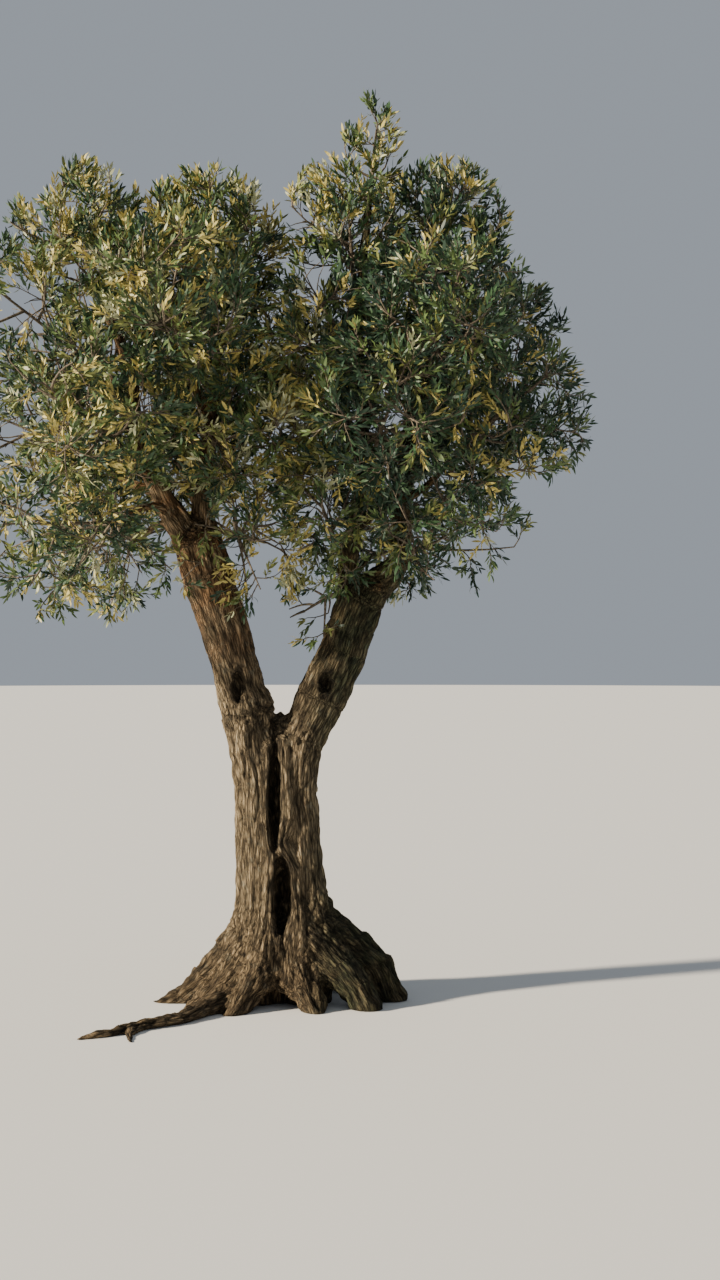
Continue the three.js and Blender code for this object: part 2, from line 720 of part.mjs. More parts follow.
// The stem of a mass runs on from its bough's tip, bends to the mass's middle and goes on through it.
// Where that way is blocked, it turns aside.
function massStem(mass) {
  const [back, tip] = mass.bough.slice(-2).map(([x, y, z]) => vec(x, y, z));
  const heading = tip.clone().sub(back).normalize();
  const start = tip.clone().addScaledVector(heading, CLEARANCE);
  const bend = start.clone().addScaledVector(heading, mass.half.x * 0.16);
  const straight = mass.centre.clone().sub(bend).normalize();
  for (let turn = 0; turn < 16; turn++) {
    const aside = turnedFrom(straight, radians(10 + 4 * turn), radians(GOLDEN_ANGLE * turn));
    const outward = turn ? aside : straight;
    const reach = Math.max(reachInSpace(mass, bend, outward) - mass.blade * 0.8, 60);
    const end = bend.clone().addScaledVector(outward, reach);
    if (clearOfWood(bend, end, () => TWIG_GIRTH.thick, mass.bough)) return { start, bend, end, outward };
  }
  return { start, bend, end: bend.clone().addScaledVector(straight, 40), outward: straight };
}

// Twigs leave the stem for evenly spread directions about the middle of the mass
function massTwigs(mass, stem, random) {
  const twigs = [];
  for (let i = 1; i <= TWIGS; i++) {
    const tilt = Math.acos(1 - (2 * (i + 0.5)) / (TWIGS + 1.8));
    const direction = turnedFrom(stem.outward, tilt, radians(GOLDEN_ANGLE * i + 30 * random()));
    const reach = Math.max(reachInSpace(mass, mass.centre, direction) - mass.blade * 0.82, 40);
    const tip = mass.centre.clone().addScaledVector(direction, reach);
    const along = tip.clone().sub(stem.bend).dot(stem.outward);
    const aside = tip.clone().sub(stem.bend).addScaledVector(stem.outward, -along).length();
    const length = stem.bend.distanceTo(stem.end);
    const root = stem.bend.clone().addScaledVector(stem.outward, clamp(along - 0.6 * aside, 8, 0.9 * length));
    if (tip.distanceTo(root) < 60) continue;
    if (clearOfWood(root, tip, () => TWIG_GIRTH.thick, mass.bough)) twigs.push([root, tip]);
  }
  return twigs;
}

function growMass(mass, random) {
  const stem = massStem(mass);
  const tipGirth = mass.bough[mass.bough.length - 1][3];
  const stemGirths = [tipGirth * 0.9, TWIG_GIRTH.thick * 1.2, TWIG_GIRTH.thin * 1.2];
  const twigs = massTwigs(mass, stem, random);
  const pieces = twigs.map((twig) => taperedTube(twig, [TWIG_GIRTH.thick, TWIG_GIRTH.thin], 3));
  pieces.push(taperedTube([stem.start, stem.bend, stem.end], stemGirths, 3));
  const blades = [];

  const addBlade = (root, direction, across) => {
    for (const share of [1, 0.86, 0.7]) {
      if (blades.length >= BLADES_EACH) return;
      const length = mass.blade * share * lerp(0.92, 1.06, random());
      const corners = bladeCorners(root, direction, across, length);
      if (!bladeFits(mass, corners, others)) continue;
      blades.push(bladeSolid(corners));
      others.push(bladeChain(corners, length / BLADE.length));
      return;
    }
  };
  twigs.push([stem.bend, stem.end]);
  const others = twigs.map((twig) => twig.map(({ x, y, z }) => [x, y, z, TWIG_GIRTH.thick]));
  const droop = mass.tier === "skirt" || mass.tier === "hanging_spray" ? -0.25 : 0.15;
  for (const [root, tip] of twigs) {
    const axis = tip.clone().sub(root).normalize();
    addBlade(tip.clone().addScaledVector(axis, -8), axis, turnedFrom(axis, Math.PI / 2, 7 * random()));
  }
  PAIRS_AT.forEach((fraction, rank) => {
    for (const [root, tip] of twigs) {
      const axis = tip.clone().sub(root).normalize();
      const round = radians(90 * rank + 60 * random());
      for (const side of [0, 1]) {
        const direction = turnedFrom(axis, radians(lerp(42, 62, random())), round + side * Math.PI);
        direction.z += droop;
        direction.normalize();
        const from = root.clone().lerp(tip, fraction).addScaledVector(axis, 20 * side);
        addBlade(from, direction, direction.clone().cross(axis).normalize());
      }
    }
  });
  return largestPiece(wasm.Manifold.union([...pieces, ...blades]));
}

// Scene graph
const tree = new THREE.Group();

function addNode(name, solid, material) {
  const mesh = new THREE.Mesh(geometryFrom(solid), material);
  mesh.name = name;
  tree.add(mesh);
}

addNode("trunk", trunk, BARK);
addNode("limb_left", limbLeft, BARK);
addNode("limb_right", limbRight, BARK);
boughSolids();
MASSES.forEach((mass, i) => {
  addNode(`bough_${mass.name}`, mass.boughSolid, BOUGH_BARK);
  addNode(`foliage_${mass.name}`, growMass(mass, randomFrom(SEED + 101 * i)), FOLIAGE);
});

export default tree;
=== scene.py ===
import math

import bpy
import numpy as np
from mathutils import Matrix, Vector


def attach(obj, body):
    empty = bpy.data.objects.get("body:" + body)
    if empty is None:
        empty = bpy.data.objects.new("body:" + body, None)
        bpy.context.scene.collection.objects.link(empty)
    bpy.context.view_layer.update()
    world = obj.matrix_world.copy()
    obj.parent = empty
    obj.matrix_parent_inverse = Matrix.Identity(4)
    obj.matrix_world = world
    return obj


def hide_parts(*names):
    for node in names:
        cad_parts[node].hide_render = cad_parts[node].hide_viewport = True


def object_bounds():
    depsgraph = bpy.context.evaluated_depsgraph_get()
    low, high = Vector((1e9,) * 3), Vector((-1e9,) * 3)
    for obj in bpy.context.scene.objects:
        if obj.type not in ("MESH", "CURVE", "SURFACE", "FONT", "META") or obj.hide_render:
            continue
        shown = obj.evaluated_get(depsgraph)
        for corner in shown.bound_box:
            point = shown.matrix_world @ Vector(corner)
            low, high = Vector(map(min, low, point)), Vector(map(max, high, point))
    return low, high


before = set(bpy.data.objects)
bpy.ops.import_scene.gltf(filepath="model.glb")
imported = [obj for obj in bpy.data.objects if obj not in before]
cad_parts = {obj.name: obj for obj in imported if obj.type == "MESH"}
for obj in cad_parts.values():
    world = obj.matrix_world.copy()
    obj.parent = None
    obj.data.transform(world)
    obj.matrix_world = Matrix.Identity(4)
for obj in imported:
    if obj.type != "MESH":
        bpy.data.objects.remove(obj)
cad_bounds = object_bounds()

SEED = 7
GOLDEN_ANGLE = math.radians(137.5)
norm = np.linalg.norm
UP = np.array([0.0, 0.0, 1.0])
ACROSS = np.array([1.0, 0.0, 0.0])


# Camera: level, in front of the tree, with the trunk's foot left of the middle of the picture
CAMERA_AT = (0.462, -10.67, 2.16)


def make_camera():
    data = bpy.data.cameras.new("camera")
    data.lens = 50.0
    data.sensor_fit = "VERTICAL"
    data.sensor_height = 36.0
    camera = bpy.data.objects.new("camera", data)
    camera.location = CAMERA_AT
    camera.rotation_euler = (math.radians(90), 0, 0)
    bpy.context.scene.collection.objects.link(camera)
    bpy.context.scene.camera = camera


# Thick wood. A chain is a list of rings (x, y, z, radius), joined by tapering rounded cones.
def chain(*rings):
    return np.array(rings, dtype=float)


STEMS = {
    "left_stem": chain(
        (-0.15, -0.03, -0.06, 0.15), (-0.155, -0.03, 0.65, 0.118), (-0.168, -0.03, 1.3, 0.118),
        (-0.216, -0.032, 1.74, 0.142),
    ),
    "left_limb": chain(
        (-0.216, -0.032, 1.74, 0.142), (-0.337, -0.045, 2.18, 0.142), (-0.44, -0.06, 2.52, 0.15),
        (-0.495, -0.06, 2.72, 0.14),
    ),
    "right_stem": chain(
        (0.15, -0.03, -0.06, 0.15), (0.14, -0.03, 0.65, 0.118), (0.095, -0.025, 1.25, 0.108),
        (0.118, -0.015, 1.57, 0.124),
    ),
    "right_limb": chain(
        (0.118, -0.015, 1.57, 0.124), (0.225, 0.0, 1.81, 0.146), (0.35, 0.02, 2.08, 0.142),
        (0.405, 0.04, 2.24, 0.138), (0.46, 0.05, 2.37, 0.136), (0.505, 0.058, 2.45, 0.12),
    ),
    "back_wall": chain((-0.005, 0.075, -0.06, 0.165), (-0.015, 0.075, 0.9, 0.15), (-0.02, 0.05, 1.6, 0.118)),
    "right_lip": chain(
        (0.005, -0.112, 1.56, 0.034), (0.022, -0.14, 1.1, 0.042), (-0.002, -0.15, 0.96, 0.046),
        (0.062, -0.142, 0.8, 0.042), (0.084, -0.145, 0.56, 0.046), (0.064, -0.215, 0.14, 0.062),
    ),
    "left_lip": chain(
        (-0.082, -0.112, 1.52, 0.034), (-0.086, -0.14, 1.08, 0.04), (-0.068, -0.146, 0.9, 0.042),
        (-0.078, -0.145, 0.64, 0.044), (-0.088, -0.2, 0.2, 0.06),
    ),
}
SURFACE_ROOTS = [
    chain(
        (-0.3, -0.26, 0.06, 0.072), (-0.44, -0.42, 0.026, 0.058), (-0.56, -0.64, 0.014, 0.046),
        (-0.76, -0.8, 0.01, 0.038), (-0.9, -0.96, 0.006, 0.028), (-1.06, -1.06, -0.004, 0.016),
    ),
    chain((-0.76, -0.8, 0.008, 0.03), (-0.8, -0.96, 0.004, 0.022), (-0.77, -1.12, -0.004, 0.012)),
]
# Root flare: compass angle in degrees, reach as a share, rise, fall, girth at the trunk and at the foot
ROOTS = [
    (184, 1.04, 0.45, 1.5, 0.118, 0.06),
    (208, 0.86, 0.34, 1.3, 0.1, 0.06),
    (236, 0.74, 0.31, 1.3, 0.094, 0.06),
    (300, 0.6, 0.29, 1.0, 0.096, 0.064),
    (333, 0.84, 0.42, 0.72, 0.11, 0.084),
    (1, 0.95, 0.51, 0.48, 0.118, 0.092),
    (42, 0.8, 0.38, 0.9, 0.106, 0.066),
    (92, 0.76, 0.38, 1.2, 0.11, 0.06),
    (138, 0.88, 0.36, 1.2, 0.104, 0.06),
]
ROOT_REACH = 0.72
ROOT_START = 0.15
ROOT_STEPS = 5
ROOT_SINK = 0.85
STEM_BLEND = 0.055
ROOT_BLEND = 0.12
HOLLOW_BLEND = 0.018
# Hollows, as ellipsoids: centre and half sizes
HOLLOWS = [
    ((-0.042, -0.19, 1.24), (0.04, 0.215, 0.32)),
    ((-0.002, -0.2, 0.655), (0.058, 0.235, 0.225)),
    ((-0.262, -0.17, 1.88), (0.034, 0.06, 0.09)),
    ((0.262, -0.128, 1.905), (0.042, 0.084, 0.06)),
]


def root_chain(toward, reach, rise, fall, girth, foot):
    angle = math.radians(toward)
    rings = []
    for step in range(ROOT_STEPS):
        u = step / (ROOT_STEPS - 1)
        out = ROOT_START + (reach * ROOT_REACH - ROOT_START) * u
        height = rise * (1 - u) ** fall - foot * ROOT_SINK * u
        rings.append((out * math.cos(angle), out * math.sin(angle), height, girth + (foot - girth) * u))
    return chain(*rings)


def smooth_min(a, b, blend):
    h = np.maximum(blend - np.abs(a - b), 0) / blend
    return np.minimum(a, b) - h * h * blend / 4


# Crown: each lobe is a stack of tiers of foliage masses, with two leading boughs
LOBES = [
    {
        "name": "left",
        "y": -0.04,
        "leaders": [
            chain(
                (-0.49, -0.06, 2.66, 0.1), (-0.7, -0.075, 3.0, 0.07), (-0.87, -0.06, 3.33, 0.056),
                (-0.93, -0.04, 3.8, 0.046),
            ),
            chain(
                (-0.46, -0.05, 2.64, 0.09), (-0.48, 0.02, 2.99, 0.058), (-0.45, 0.1, 3.42, 0.044),
                (-0.4, 0.09, 3.8, 0.036),
            ),
        ],
        # name, x, height, spread across, spread deep, count, turn, half width, half height
        "tiers": [
            ("skirt", -0.85, 2.82, 0.66, 0.72, 3, 115, 0.58, 0.57),
            ("waist", -0.93, 3.42, 0.6, 0.76, 4, 165, 0.62, 0.56),
            ("shoulder", -0.93, 4.04, 0.6, 0.74, 4, 210, 0.62, 0.56),
            ("crest", -0.83, 4.545, 0.4, 0.3, 2, 195, 0.48, 0.48),
        ],
    },
    {
        "name": "right",
        "y": 0.03,
        "leaders": [
            chain(
                (0.48, 0.055, 2.42, 0.096), (0.68, 0.075, 2.6, 0.074), (0.712, 0.08, 2.8, 0.058),
                (0.74, 0.06, 3.3, 0.048), (0.83, 0.04, 3.8, 0.04),
            ),
            chain(
                (0.45, 0.045, 2.36, 0.07), (0.39, 0.02, 2.57, 0.056), (0.43, 0.005, 2.82, 0.044),
                (0.47, 0.0, 3.3, 0.038), (0.46, 0.0, 3.9, 0.032),
            ),
        ],
        "tiers": [
            ("skirt", 0.64, 2.88, 0.4, 0.7, 3, -40, 0.52, 0.52),
            ("waist", 0.84, 3.48, 0.49, 0.78, 4, -25, 0.55, 0.54),
            ("shoulder", 0.78, 3.99, 0.48, 0.74, 4, 20, 0.535, 0.515),
            ("crest", 0.69, 4.62, 0.3, 0.25, 2, 15, 0.425, 0.47),
        ],
    },
]
# Small masses: name, centre, half width, half height, leading bough
SPRAYS = [
    ("spire", (0.54, 0.01, 5.02), 0.24, 0.45, 1),
    ("hanging_spray", (0.16, -0.06, 2.35), 0.25, 0.26, 1),
]
LEADER_MASSES = {"left_crest_1": 0, "left_crest_2": 1, "right_crest_1": 0, "right_crest_2": 1}
SPACE_MARGIN = 0.006
# The leading shoot is slimmer than the space that it has
SPIRE_SHARE = 0.87


class Mass:
    """One mass of foliage: an ellipsoid, cut by planes that share the way to the other masses."""

    def __init__(self, name, lobe, tier, centre, half, leader=None):
        self.name = name
        self.lobe = lobe
        self.tier = tier
        self.centre = np.array(centre, dtype=float)
        self.half = np.array(half, dtype=float)
        self.leader = leader
        self.bough = None

    def set_neighbours(self, masses):
        others = [other for other in masses if other is not self]
        away = np.array([other.centre - self.centre for other in others])
        share = np.array([self.half[0] / (self.half[0] + other.half[0]) for other in others])
        length = norm(away, axis=1)
        self.normals = away / length[:, None]
        self.limits = length * share - SPACE_MARGIN

    def reach(self, start, directions, overlap=0.0):
        """How far each direction runs from start inside the mass's space, with some overlap into others."""
        starts = np.broadcast_to(start, directions.shape) - self.centre
        p = starts / self.half
        d = directions / self.half
        a = (d * d).sum(axis=1)
        b = (p * d).sum(axis=1)
        c = (p * p).sum(axis=1) - 1
        root = b * b - a * c
        out = np.where(root > 0, (-b + np.sqrt(np.maximum(root, 0))) / a, -1)
        out = np.where(c > 0, -1, out)
        room = self.limits + overlap - starts @ self.normals.T
        speed = directions @ self.normals.T
        stops = np.where(speed > 1e-9, room / np.maximum(speed, 1e-9), np.inf)
        return np.where((room < 0).any(axis=1), -1, np.minimum(out, stops.min(axis=1)))


def crown_masses():
    masses = []
    for lobe in LOBES:
        for tier, x, height, across, deep, count, turn, wide, tall in lobe["tiers"]:
            for i in range(count):
                angle = math.radians(turn + 360 * i / count)
                centre = (x + across * math.cos(angle), lobe["y"] + deep * math.sin(angle), height)
                name = f"{lobe['name']}_{tier}_{i + 1}"
                masses.append(Mass(name, lobe, tier, centre, (wide, wide, tall)))
    for name, centre, wide, tall, leader in SPRAYS:
        masses.append(Mass(name, LOBES[1], name, centre, (wide, wide, tall), leader))
    for mass in masses:
        mass.set_neighbours(masses)
    spire = next(mass for mass in masses if mass.name == "spire")
    spire.half[:2] *= SPIRE_SHARE
    return masses


def unit(v):
    return v / norm(v)


def units(v):
    return v / np.maximum(norm(v, axis=-1, keepdims=True), 1e-9)


def smooth_path(points, count):
    """A smooth curve through points with any number of columns."""
    padded = np.vstack([2 * points[0] - points[1], points, 2 * points[-1] - points[-2]])
    place = np.linspace(0, len(points) - 1, count)
    i = np.minimum(place.astype(int), len(points) - 2)
    t = (place - i)[:, None]
    p0, p1, p2, p3 = (padded[i + n] for n in range(4))
    return 0.5 * (
        2 * p1
        + (p2 - p0) * t
        + (2 * p0 - 5 * p1 + 4 * p2 - p3) * t**2
        + (3 * p1 - p0 - 3 * p2 + p3) * t**3
    )


# Boughs
LEADER_RINGS = 7
LEADER_TIP = 0.02
BOUGH_RINGS = 12
BOUGH_THICK = 0.04
BOUGH_THIN = 0.017
BOUGH_LEAST = 0.026  # a short bough's girth at its foot
BOUGH_FULL_LENGTH = 0.7  # from which a bough has its full girth
SKIRT_LIFT = 0.2  # how far up a bough's middle bows, as a share of its length
USUAL_LIFT = -0.12
# Where a bough may spring from a leading bough, how far below its mass it should, and what it costs to
# stand off that height or to crowd another
START_PLACES = np.arange(0.12, 0.9, 0.04)
START_SLOPE = 0.55
START_BELOW = 0.12
HEIGHT_COST = 2.2
CROWDING_COST = 0.5
START_GAP = 0.11
# Where a bough ends: the nearer of these shares of the mass's reach and of the way from its start
ENTRY_REACH = 0.8
ENTRY_WAY = 0.6


def entry_point(mass, start):
    back = start - mass.centre
    direction = unit(back)
    reach = mass.reach(mass.centre, direction[None])[0]
    return mass.centre + direction * min(reach * ENTRY_REACH, norm(back) * ENTRY_WAY)


def path_point(path, t):
    place = min(max(t, 0), 1) * (len(path) - 1)
    i = min(int(place), len(path) - 2)
    return path[i] + (path[i + 1] - path[i]) * (place - i)


def grow_leaders(masses):
    for lobe in LOBES:
        lobe["paths"] = list(lobe["leaders"])
    for mass in masses:
        number = LEADER_MASSES.get(mass.name)
        if number is None:
            continue
        leader = mass.lobe["leaders"][number]
        end = entry_point(mass, leader[-1][:3])
        path = smooth_path(np.vstack([leader, [*end, LEADER_TIP]]), LEADER_RINGS)
        mass.lobe["paths"][number] = path
        mass.bough = path


def best_start(mass, starts):
    """The place on the lobe's leading boughs from which a bough reaches its mass best."""
    paths = mass.lobe["paths"] if mass.leader is None else [mass.lobe["paths"][mass.leader]]

    def cost(start):
        flat = math.hypot(*(start - mass.centre)[:2])
        wanted = mass.centre[2] - START_SLOPE * flat - START_BELOW
        crowding = sum(norm(used - start) < START_GAP for used in starts)
        length = norm(start - mass.centre)
        return length + HEIGHT_COST * abs(start[2] - wanted) + CROWDING_COST * crowding

    return min((path_point(path, t)[:3] for path in paths for t in START_PLACES), key=cost)


def grow_boughs(masses):
    starts = []
    for mass in masses:
        if mass.bough is not None:
            continue
        start = best_start(mass, starts)
        starts.append(start)
        end = entry_point(mass, start)
        length = norm(end - start)
        thick = min(max(BOUGH_THICK * length / BOUGH_FULL_LENGTH, BOUGH_LEAST), BOUGH_THICK)
        lift = SKIRT_LIFT if mass.tier == "skirt" else USUAL_LIFT
        middle = (start + end) / 2 + UP * lift * length
        t = np.linspace(0, 1, BOUGH_RINGS)[:, None]
        curve = (1 - t) ** 2 * start + 2 * t * (1 - t) * middle + t**2 * end
        mass.bough = np.hstack([curve, thick + (BOUGH_THIN - thick) * t])


# Gradient noise, about -1 to 1, for rows of points
GRADIENTS = units(np.random.default_rng(SEED).normal(size=(256, 3)))
SHUFFLE = np.random.default_rng(SEED + 1).permutation(256)
NOISE_GAIN = 1.6


def noise(points):
    cell = np.floor(points).astype(int)
    f = points - cell
    fade = f * f * f * (f * (f * 6 - 15) + 10)
    total = np.zeros(len(points))
    for corner in range(8):
        bits = np.array([corner & 1, (corner >> 1) & 1, (corner >> 2) & 1])
        at = (cell + bits) & 255
        pick = SHUFFLE[(SHUFFLE[(SHUFFLE[at[:, 0]] + at[:, 1]) & 255] + at[:, 2]) & 255]
        weight = np.prod(np.where(bits, fade, 1 - fade), axis=1)
        total += weight * (GRADIENTS[pick] * (f - bits)).sum(axis=1)
    return total * NOISE_GAIN


# Meshes from arrays
def make_mesh(name, vertices, faces, smooth, material):
    """faces is a list of index arrays, each with one row a face."""
    mesh = bpy.data.meshes.new(name)
    loops = np.concatenate([f.ravel() for f in faces])
    sizes = np.concatenate([np.full(len(f), f.shape[1]) for f in faces])
    starts = np.concatenate([[0], np.cumsum(sizes)[:-1]])
    mesh.vertices.add(len(vertices))
    mesh.vertices.foreach_set("co", np.asarray(vertices, dtype=np.float32).ravel())
    mesh.loops.add(len(loops))
    mesh.loops.foreach_set("vertex_index", loops.astype(np.int32))
    mesh.polygons.add(len(sizes))
    mesh.polygons.foreach_set("loop_start", starts.astype(np.int32))
    mesh.polygons.foreach_set("loop_total", sizes.astype(np.int32))
    mesh.update(calc_edges=True)
    mesh.polygons.foreach_set("use_smooth", np.full(len(sizes), smooth))
    mesh.materials.append(material)
    piece = bpy.data.objects.new(name, mesh)
    bpy.context.scene.collection.objects.link(piece)
    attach(piece, "root")
    return piece


STEEP = 0.8  # rise of a steep tube, as a share of its length


def tubes(paths, radii, sides):
    """Tubes of the given number of sides along many paths of equal length, as vertices and quads."""
    count, rings = radii.shape
    ahead = np.empty_like(paths)
    ahead[:, 1:-1] = paths[:, 2:] - paths[:, :-2]
    ahead[:, 0] = paths[:, 1] - paths[:, 0]
    ahead[:, -1] = paths[:, -1] - paths[:, -2]
    ahead = units(ahead)
    overall = paths[:, -1] - paths[:, 0]
    level = np.abs(overall[:, 2]) < STEEP * norm(overall, axis=1)
    reference = np.where(level[:, None], UP, ACROSS)[:, None]
    across = units(np.cross(ahead, reference))
    other = np.cross(ahead, across)
    angle = np.linspace(0, 2 * np.pi, sides, endpoint=False)
    ring = across[:, :, None] * np.cos(angle)[:, None] + other[:, :, None] * np.sin(angle)[:, None]
    vertices = paths[:, :, None] + radii[:, :, None, None] * ring
    first = np.arange(count)[:, None, None] * rings * sides
    row = np.arange(rings - 1)[None, :, None] * sides
    side = np.arange(sides)[None, None, :]
    turn = (side + 1) % sides
    a = first + row + side
    b = first + row + turn
    quads = np.stack([a, b, b + sides, a + sides], axis=-1).reshape(-1, 4)
    return vertices.reshape(-1, 3), quads


# The wood's field on a grid, and its surface
VOXEL = 0.0105
FIELD_LOW = np.array([-1.15, -1.2, -0.05])
FIELD_HIGH = np.array([0.86, 0.72, 3.0])
FAR = 1.0
HOLLOW_WINDOW = 1.6  # how far a hollow reaches in the field, as a share of its half sizes


def wood_field(blended):
    """blended is a list of (chain, blend)."""
    size = np.ceil((FIELD_HIGH - FIELD_LOW) / VOXEL).astype(int)
    field = np.full(size, FAR, dtype=np.float32)
    lines = [(FIELD_LOW[n] + VOXEL * np.arange(size[n])).astype(np.float32) for n in range(3)]

    def window(low, high):
        first = np.clip(np.floor((low - FIELD_LOW) / VOXEL).astype(int), 0, size)
        last = np.clip(np.ceil((high - FIELD_LOW) / VOXEL).astype(int), 0, size)
        return tuple(slice(f, l) for f, l in zip(first, last))

    def grid(where):
        return np.meshgrid(*[lines[n][where[n]] for n in range(3)], indexing="ij", sparse=True)

    for rings, blend in blended:
        one = np.full(size, FAR, dtype=np.float32)
        corners = []
        for a, b in zip(rings[:-1], rings[1:]):
            radius = max(a[3], b[3]) + (blend + 2 * VOXEL)
            corners += [np.minimum(a[:3], b[:3]) - radius, np.maximum(a[:3], b[:3]) + radius]
            where = window(*corners[-2:])
            x, y, z = grid(where)
            d = (b - a)[:3]
            t = np.clip(((x - a[0]) * d[0] + (y - a[1]) * d[1] + (z - a[2]) * d[2]) / (d @ d), 0, 1)
            gap = np.sqrt(
                (x - a[0] - t * d[0]) ** 2 + (y - a[1] - t * d[1]) ** 2 + (z - a[2] - t * d[2]) ** 2
            )
            one[where] = np.minimum(one[where], gap - (a[3] + t * (b[3] - a[3])))
        where = window(np.min(corners, axis=0), np.max(corners, axis=0))
        field[where] = smooth_min(field[where], one[where], blend)
    for at, half in HOLLOWS:
        at, half = np.array(at), np.array(half)
        where = window(at - half * HOLLOW_WINDOW, at + half * HOLLOW_WINDOW)
        x, y, z = grid(where)
        reach = np.sqrt(
            ((x - at[0]) / half[0]) ** 2 + ((y - at[1]) / half[1]) ** 2 + ((z - at[2]) / half[2]) ** 2
        )
        field[where] = -smooth_min(-field[where], (reach - 1) * half.min(), HOLLOW_BLEND)
    return np.maximum(field, -lines[2][None, None, :])


def field_surface(field):
    """The surface where the field is zero, with one vertex in each cell that it crosses."""
    inside = field < 0
    filled = np.zeros([n - 1 for n in field.shape], dtype=np.int8)
    corners = [((c & 1), (c >> 1) & 1, (c >> 2) & 1) for c in range(8)]
    for corner in corners:
        filled += inside[tuple(slice(c, c + n) for c, n in zip(corner, filled.shape))]
    cells = np.argwhere((filled > 0) & (filled < 8))
    value = np.stack([field[tuple((cells + corner).T)] for corner in corners])
    total = np.zeros((len(cells), 3))
    crossings = np.zeros(len(cells))
    for a in range(8):
        for axis in range(3):
            if corners[a][axis]:
                continue
            b = a | (1 << axis)
            crossed = (value[a] < 0) != (value[b] < 0)
            t = np.where(crossed, value[a] / np.where(crossed, value[a] - value[b], 1), 0)
            total += crossed[:, None] * (np.array(corners[a]) + t[:, None] * np.eye(3)[axis])
            crossings += crossed
    vertices = FIELD_LOW + VOXEL * (cells + total / crossings[:, None])
    number = np.full(filled.shape, -1, dtype=np.int64)
    number[tuple(cells.T)] = np.arange(len(cells))
    quads = []
    for axis in range(3):
        u, w = np.eye(3, dtype=int)[[(axis + 1) % 3, (axis + 2) % 3]]
        here = [slice(1, n - 1) for n in field.shape]
        there = list(here)
        there[axis] = slice(2, field.shape[axis])
        changes = np.argwhere(inside[tuple(here)] != inside[tuple(there)]) + 1
        around = [number[tuple((changes - a * u - b * w).T)] for a, b in ((1, 1), (0, 1), (0, 0), (1, 0))]
        around = np.stack(around, axis=1)
        outward = inside[tuple(changes.T)]
        quads.append(np.where(outward[:, None], around, around[:, ::-1]))
    return vertices, np.vstack(quads)


def vertex_normals(vertices, quads):
    a, b, c, d = (vertices[quads[:, i]] for i in range(4))
    face = np.cross(c - a, d - b)
    normals = np.zeros_like(vertices)
    for i in range(4):
        for n in range(3):
            normals[:, n] += np.bincount(quads[:, i], face[:, n], len(vertices))
    return units(normals)


# Bark relief. Grain coordinates run slowly along a chain and fast around it.
GRAIN_STRETCH = 0.15
GRAIN_APART = 3.7  # keeps the patterns of two chains different
CHAIN_SOFTNESS = 0.016
CHAIN_LEAST = 0.04  # a chain with a smaller share than this has no say in the relief
# Creases between the ridges: size, place in the noise, sharpness and share
FURROWS = (0.044, 9, 3.2, 0.55)
PLATES = (0.025, 31, 3.0, 0.45)
RIDGE_HEIGHT = 0.014
RIDGE_LEVEL = 0.2
FLUTE_SIZE = 0.1
FLUTE_HEIGHT = 0.014
# Lumps: size, place in the noise and share
LUMPS = ((0.15, 50, 0.6), (0.06, 80, 0.4))
LUMP_HEIGHT = 0.012
# From this height down to the ground, flutes and lumps grow by so much
KNOTTY_BELOW = 0.75
KNOTTY_FLUTES = 0.01
KNOTTY_LUMPS = 0.024


def grain_on_chain(points, rings):
    """Distance to the chain's surface, and the grain coordinates there, in metres."""
    best = np.full(len(points), np.inf)
    grain = np.zeros_like(points)
    along = unit(rings[-1][:3] - rings[0][:3])
    arc = 0.0
    for a, b in zip(rings[:-1], rings[1:]):
        d = (b - a)[:3]
        length = norm(d)
        t = np.clip(((points - a[:3]) @ d) / length**2, 0, 1)
        offset = points - a[:3] - t[:, None] * d
        gap = norm(offset, axis=1) - (a[3] + t * (b[3] - a[3]))
        nearer = gap < best
        here = offset + along * ((arc + t * length) * GRAIN_STRETCH)[:, None]
        best = np.where(nearer, gap, best)
        grain = np.where(nearer[:, None], here, grain)
        arc += length
    return best, grain


def creases(points, size, at, sharpness, share):
    """The share along each crease, falling away steeply on both sides."""
    return share * (1 - sharpness * np.abs(noise(points / size + at)))


def bark_relief(points, chains):
    """Height of the bark over the smooth wood, how far up its ridges each point is, and the grain there."""
    gaps, grains = zip(*[grain_on_chain(points, rings) for rings in chains])
    gaps = np.array(gaps)
    grain = np.array(grains)[gaps.argmin(axis=0), np.arange(len(points))]
    weight = np.exp(-(gaps - gaps.min(axis=0)) / CHAIN_SOFTNESS)
    weight[weight < CHAIN_LEAST] = 0
    weight /= weight.sum(axis=0)
    vigour = 1 / np.sqrt((weight**2).sum(axis=0))
    flutes = np.zeros(len(points))
    ridges = np.zeros(len(points))
    for i, own in enumerate(grains):
        used = weight[i] > 0
        share = weight[i][used]
        here = own[used] + i * GRAIN_APART
        flutes[used] += share * noise(here / FLUTE_SIZE) * vigour[used]
        ridges[used] -= share * (creases(here, *FURROWS) + creases(here, *PLATES))
    ridges = (ridges + RIDGE_LEVEL) * vigour - RIDGE_LEVEL
    knotty = np.clip(1 - points[:, 2] / KNOTTY_BELOW, 0, 1)
    lumps = sum(share * noise(points / size + at) for size, at, share in LUMPS)
    height = (
        (FLUTE_HEIGHT + KNOTTY_FLUTES * knotty) * flutes
        + RIDGE_HEIGHT * ridges
        + (LUMP_HEIGHT + KNOTTY_LUMPS * knotty) * lumps
    )
    return height, np.clip(0.5 + 0.5 * ridges, 0, 1), grain


def add_point_data(mesh, grain, relief):
    attribute = mesh.attributes.new("grain", "FLOAT_VECTOR", "POINT")
    attribute.data.foreach_set("vector", grain.astype(np.float32).ravel())
    attribute = mesh.attributes.new("relief", "FLOAT", "POINT")
    attribute.data.foreach_set("value", relief.astype(np.float32))


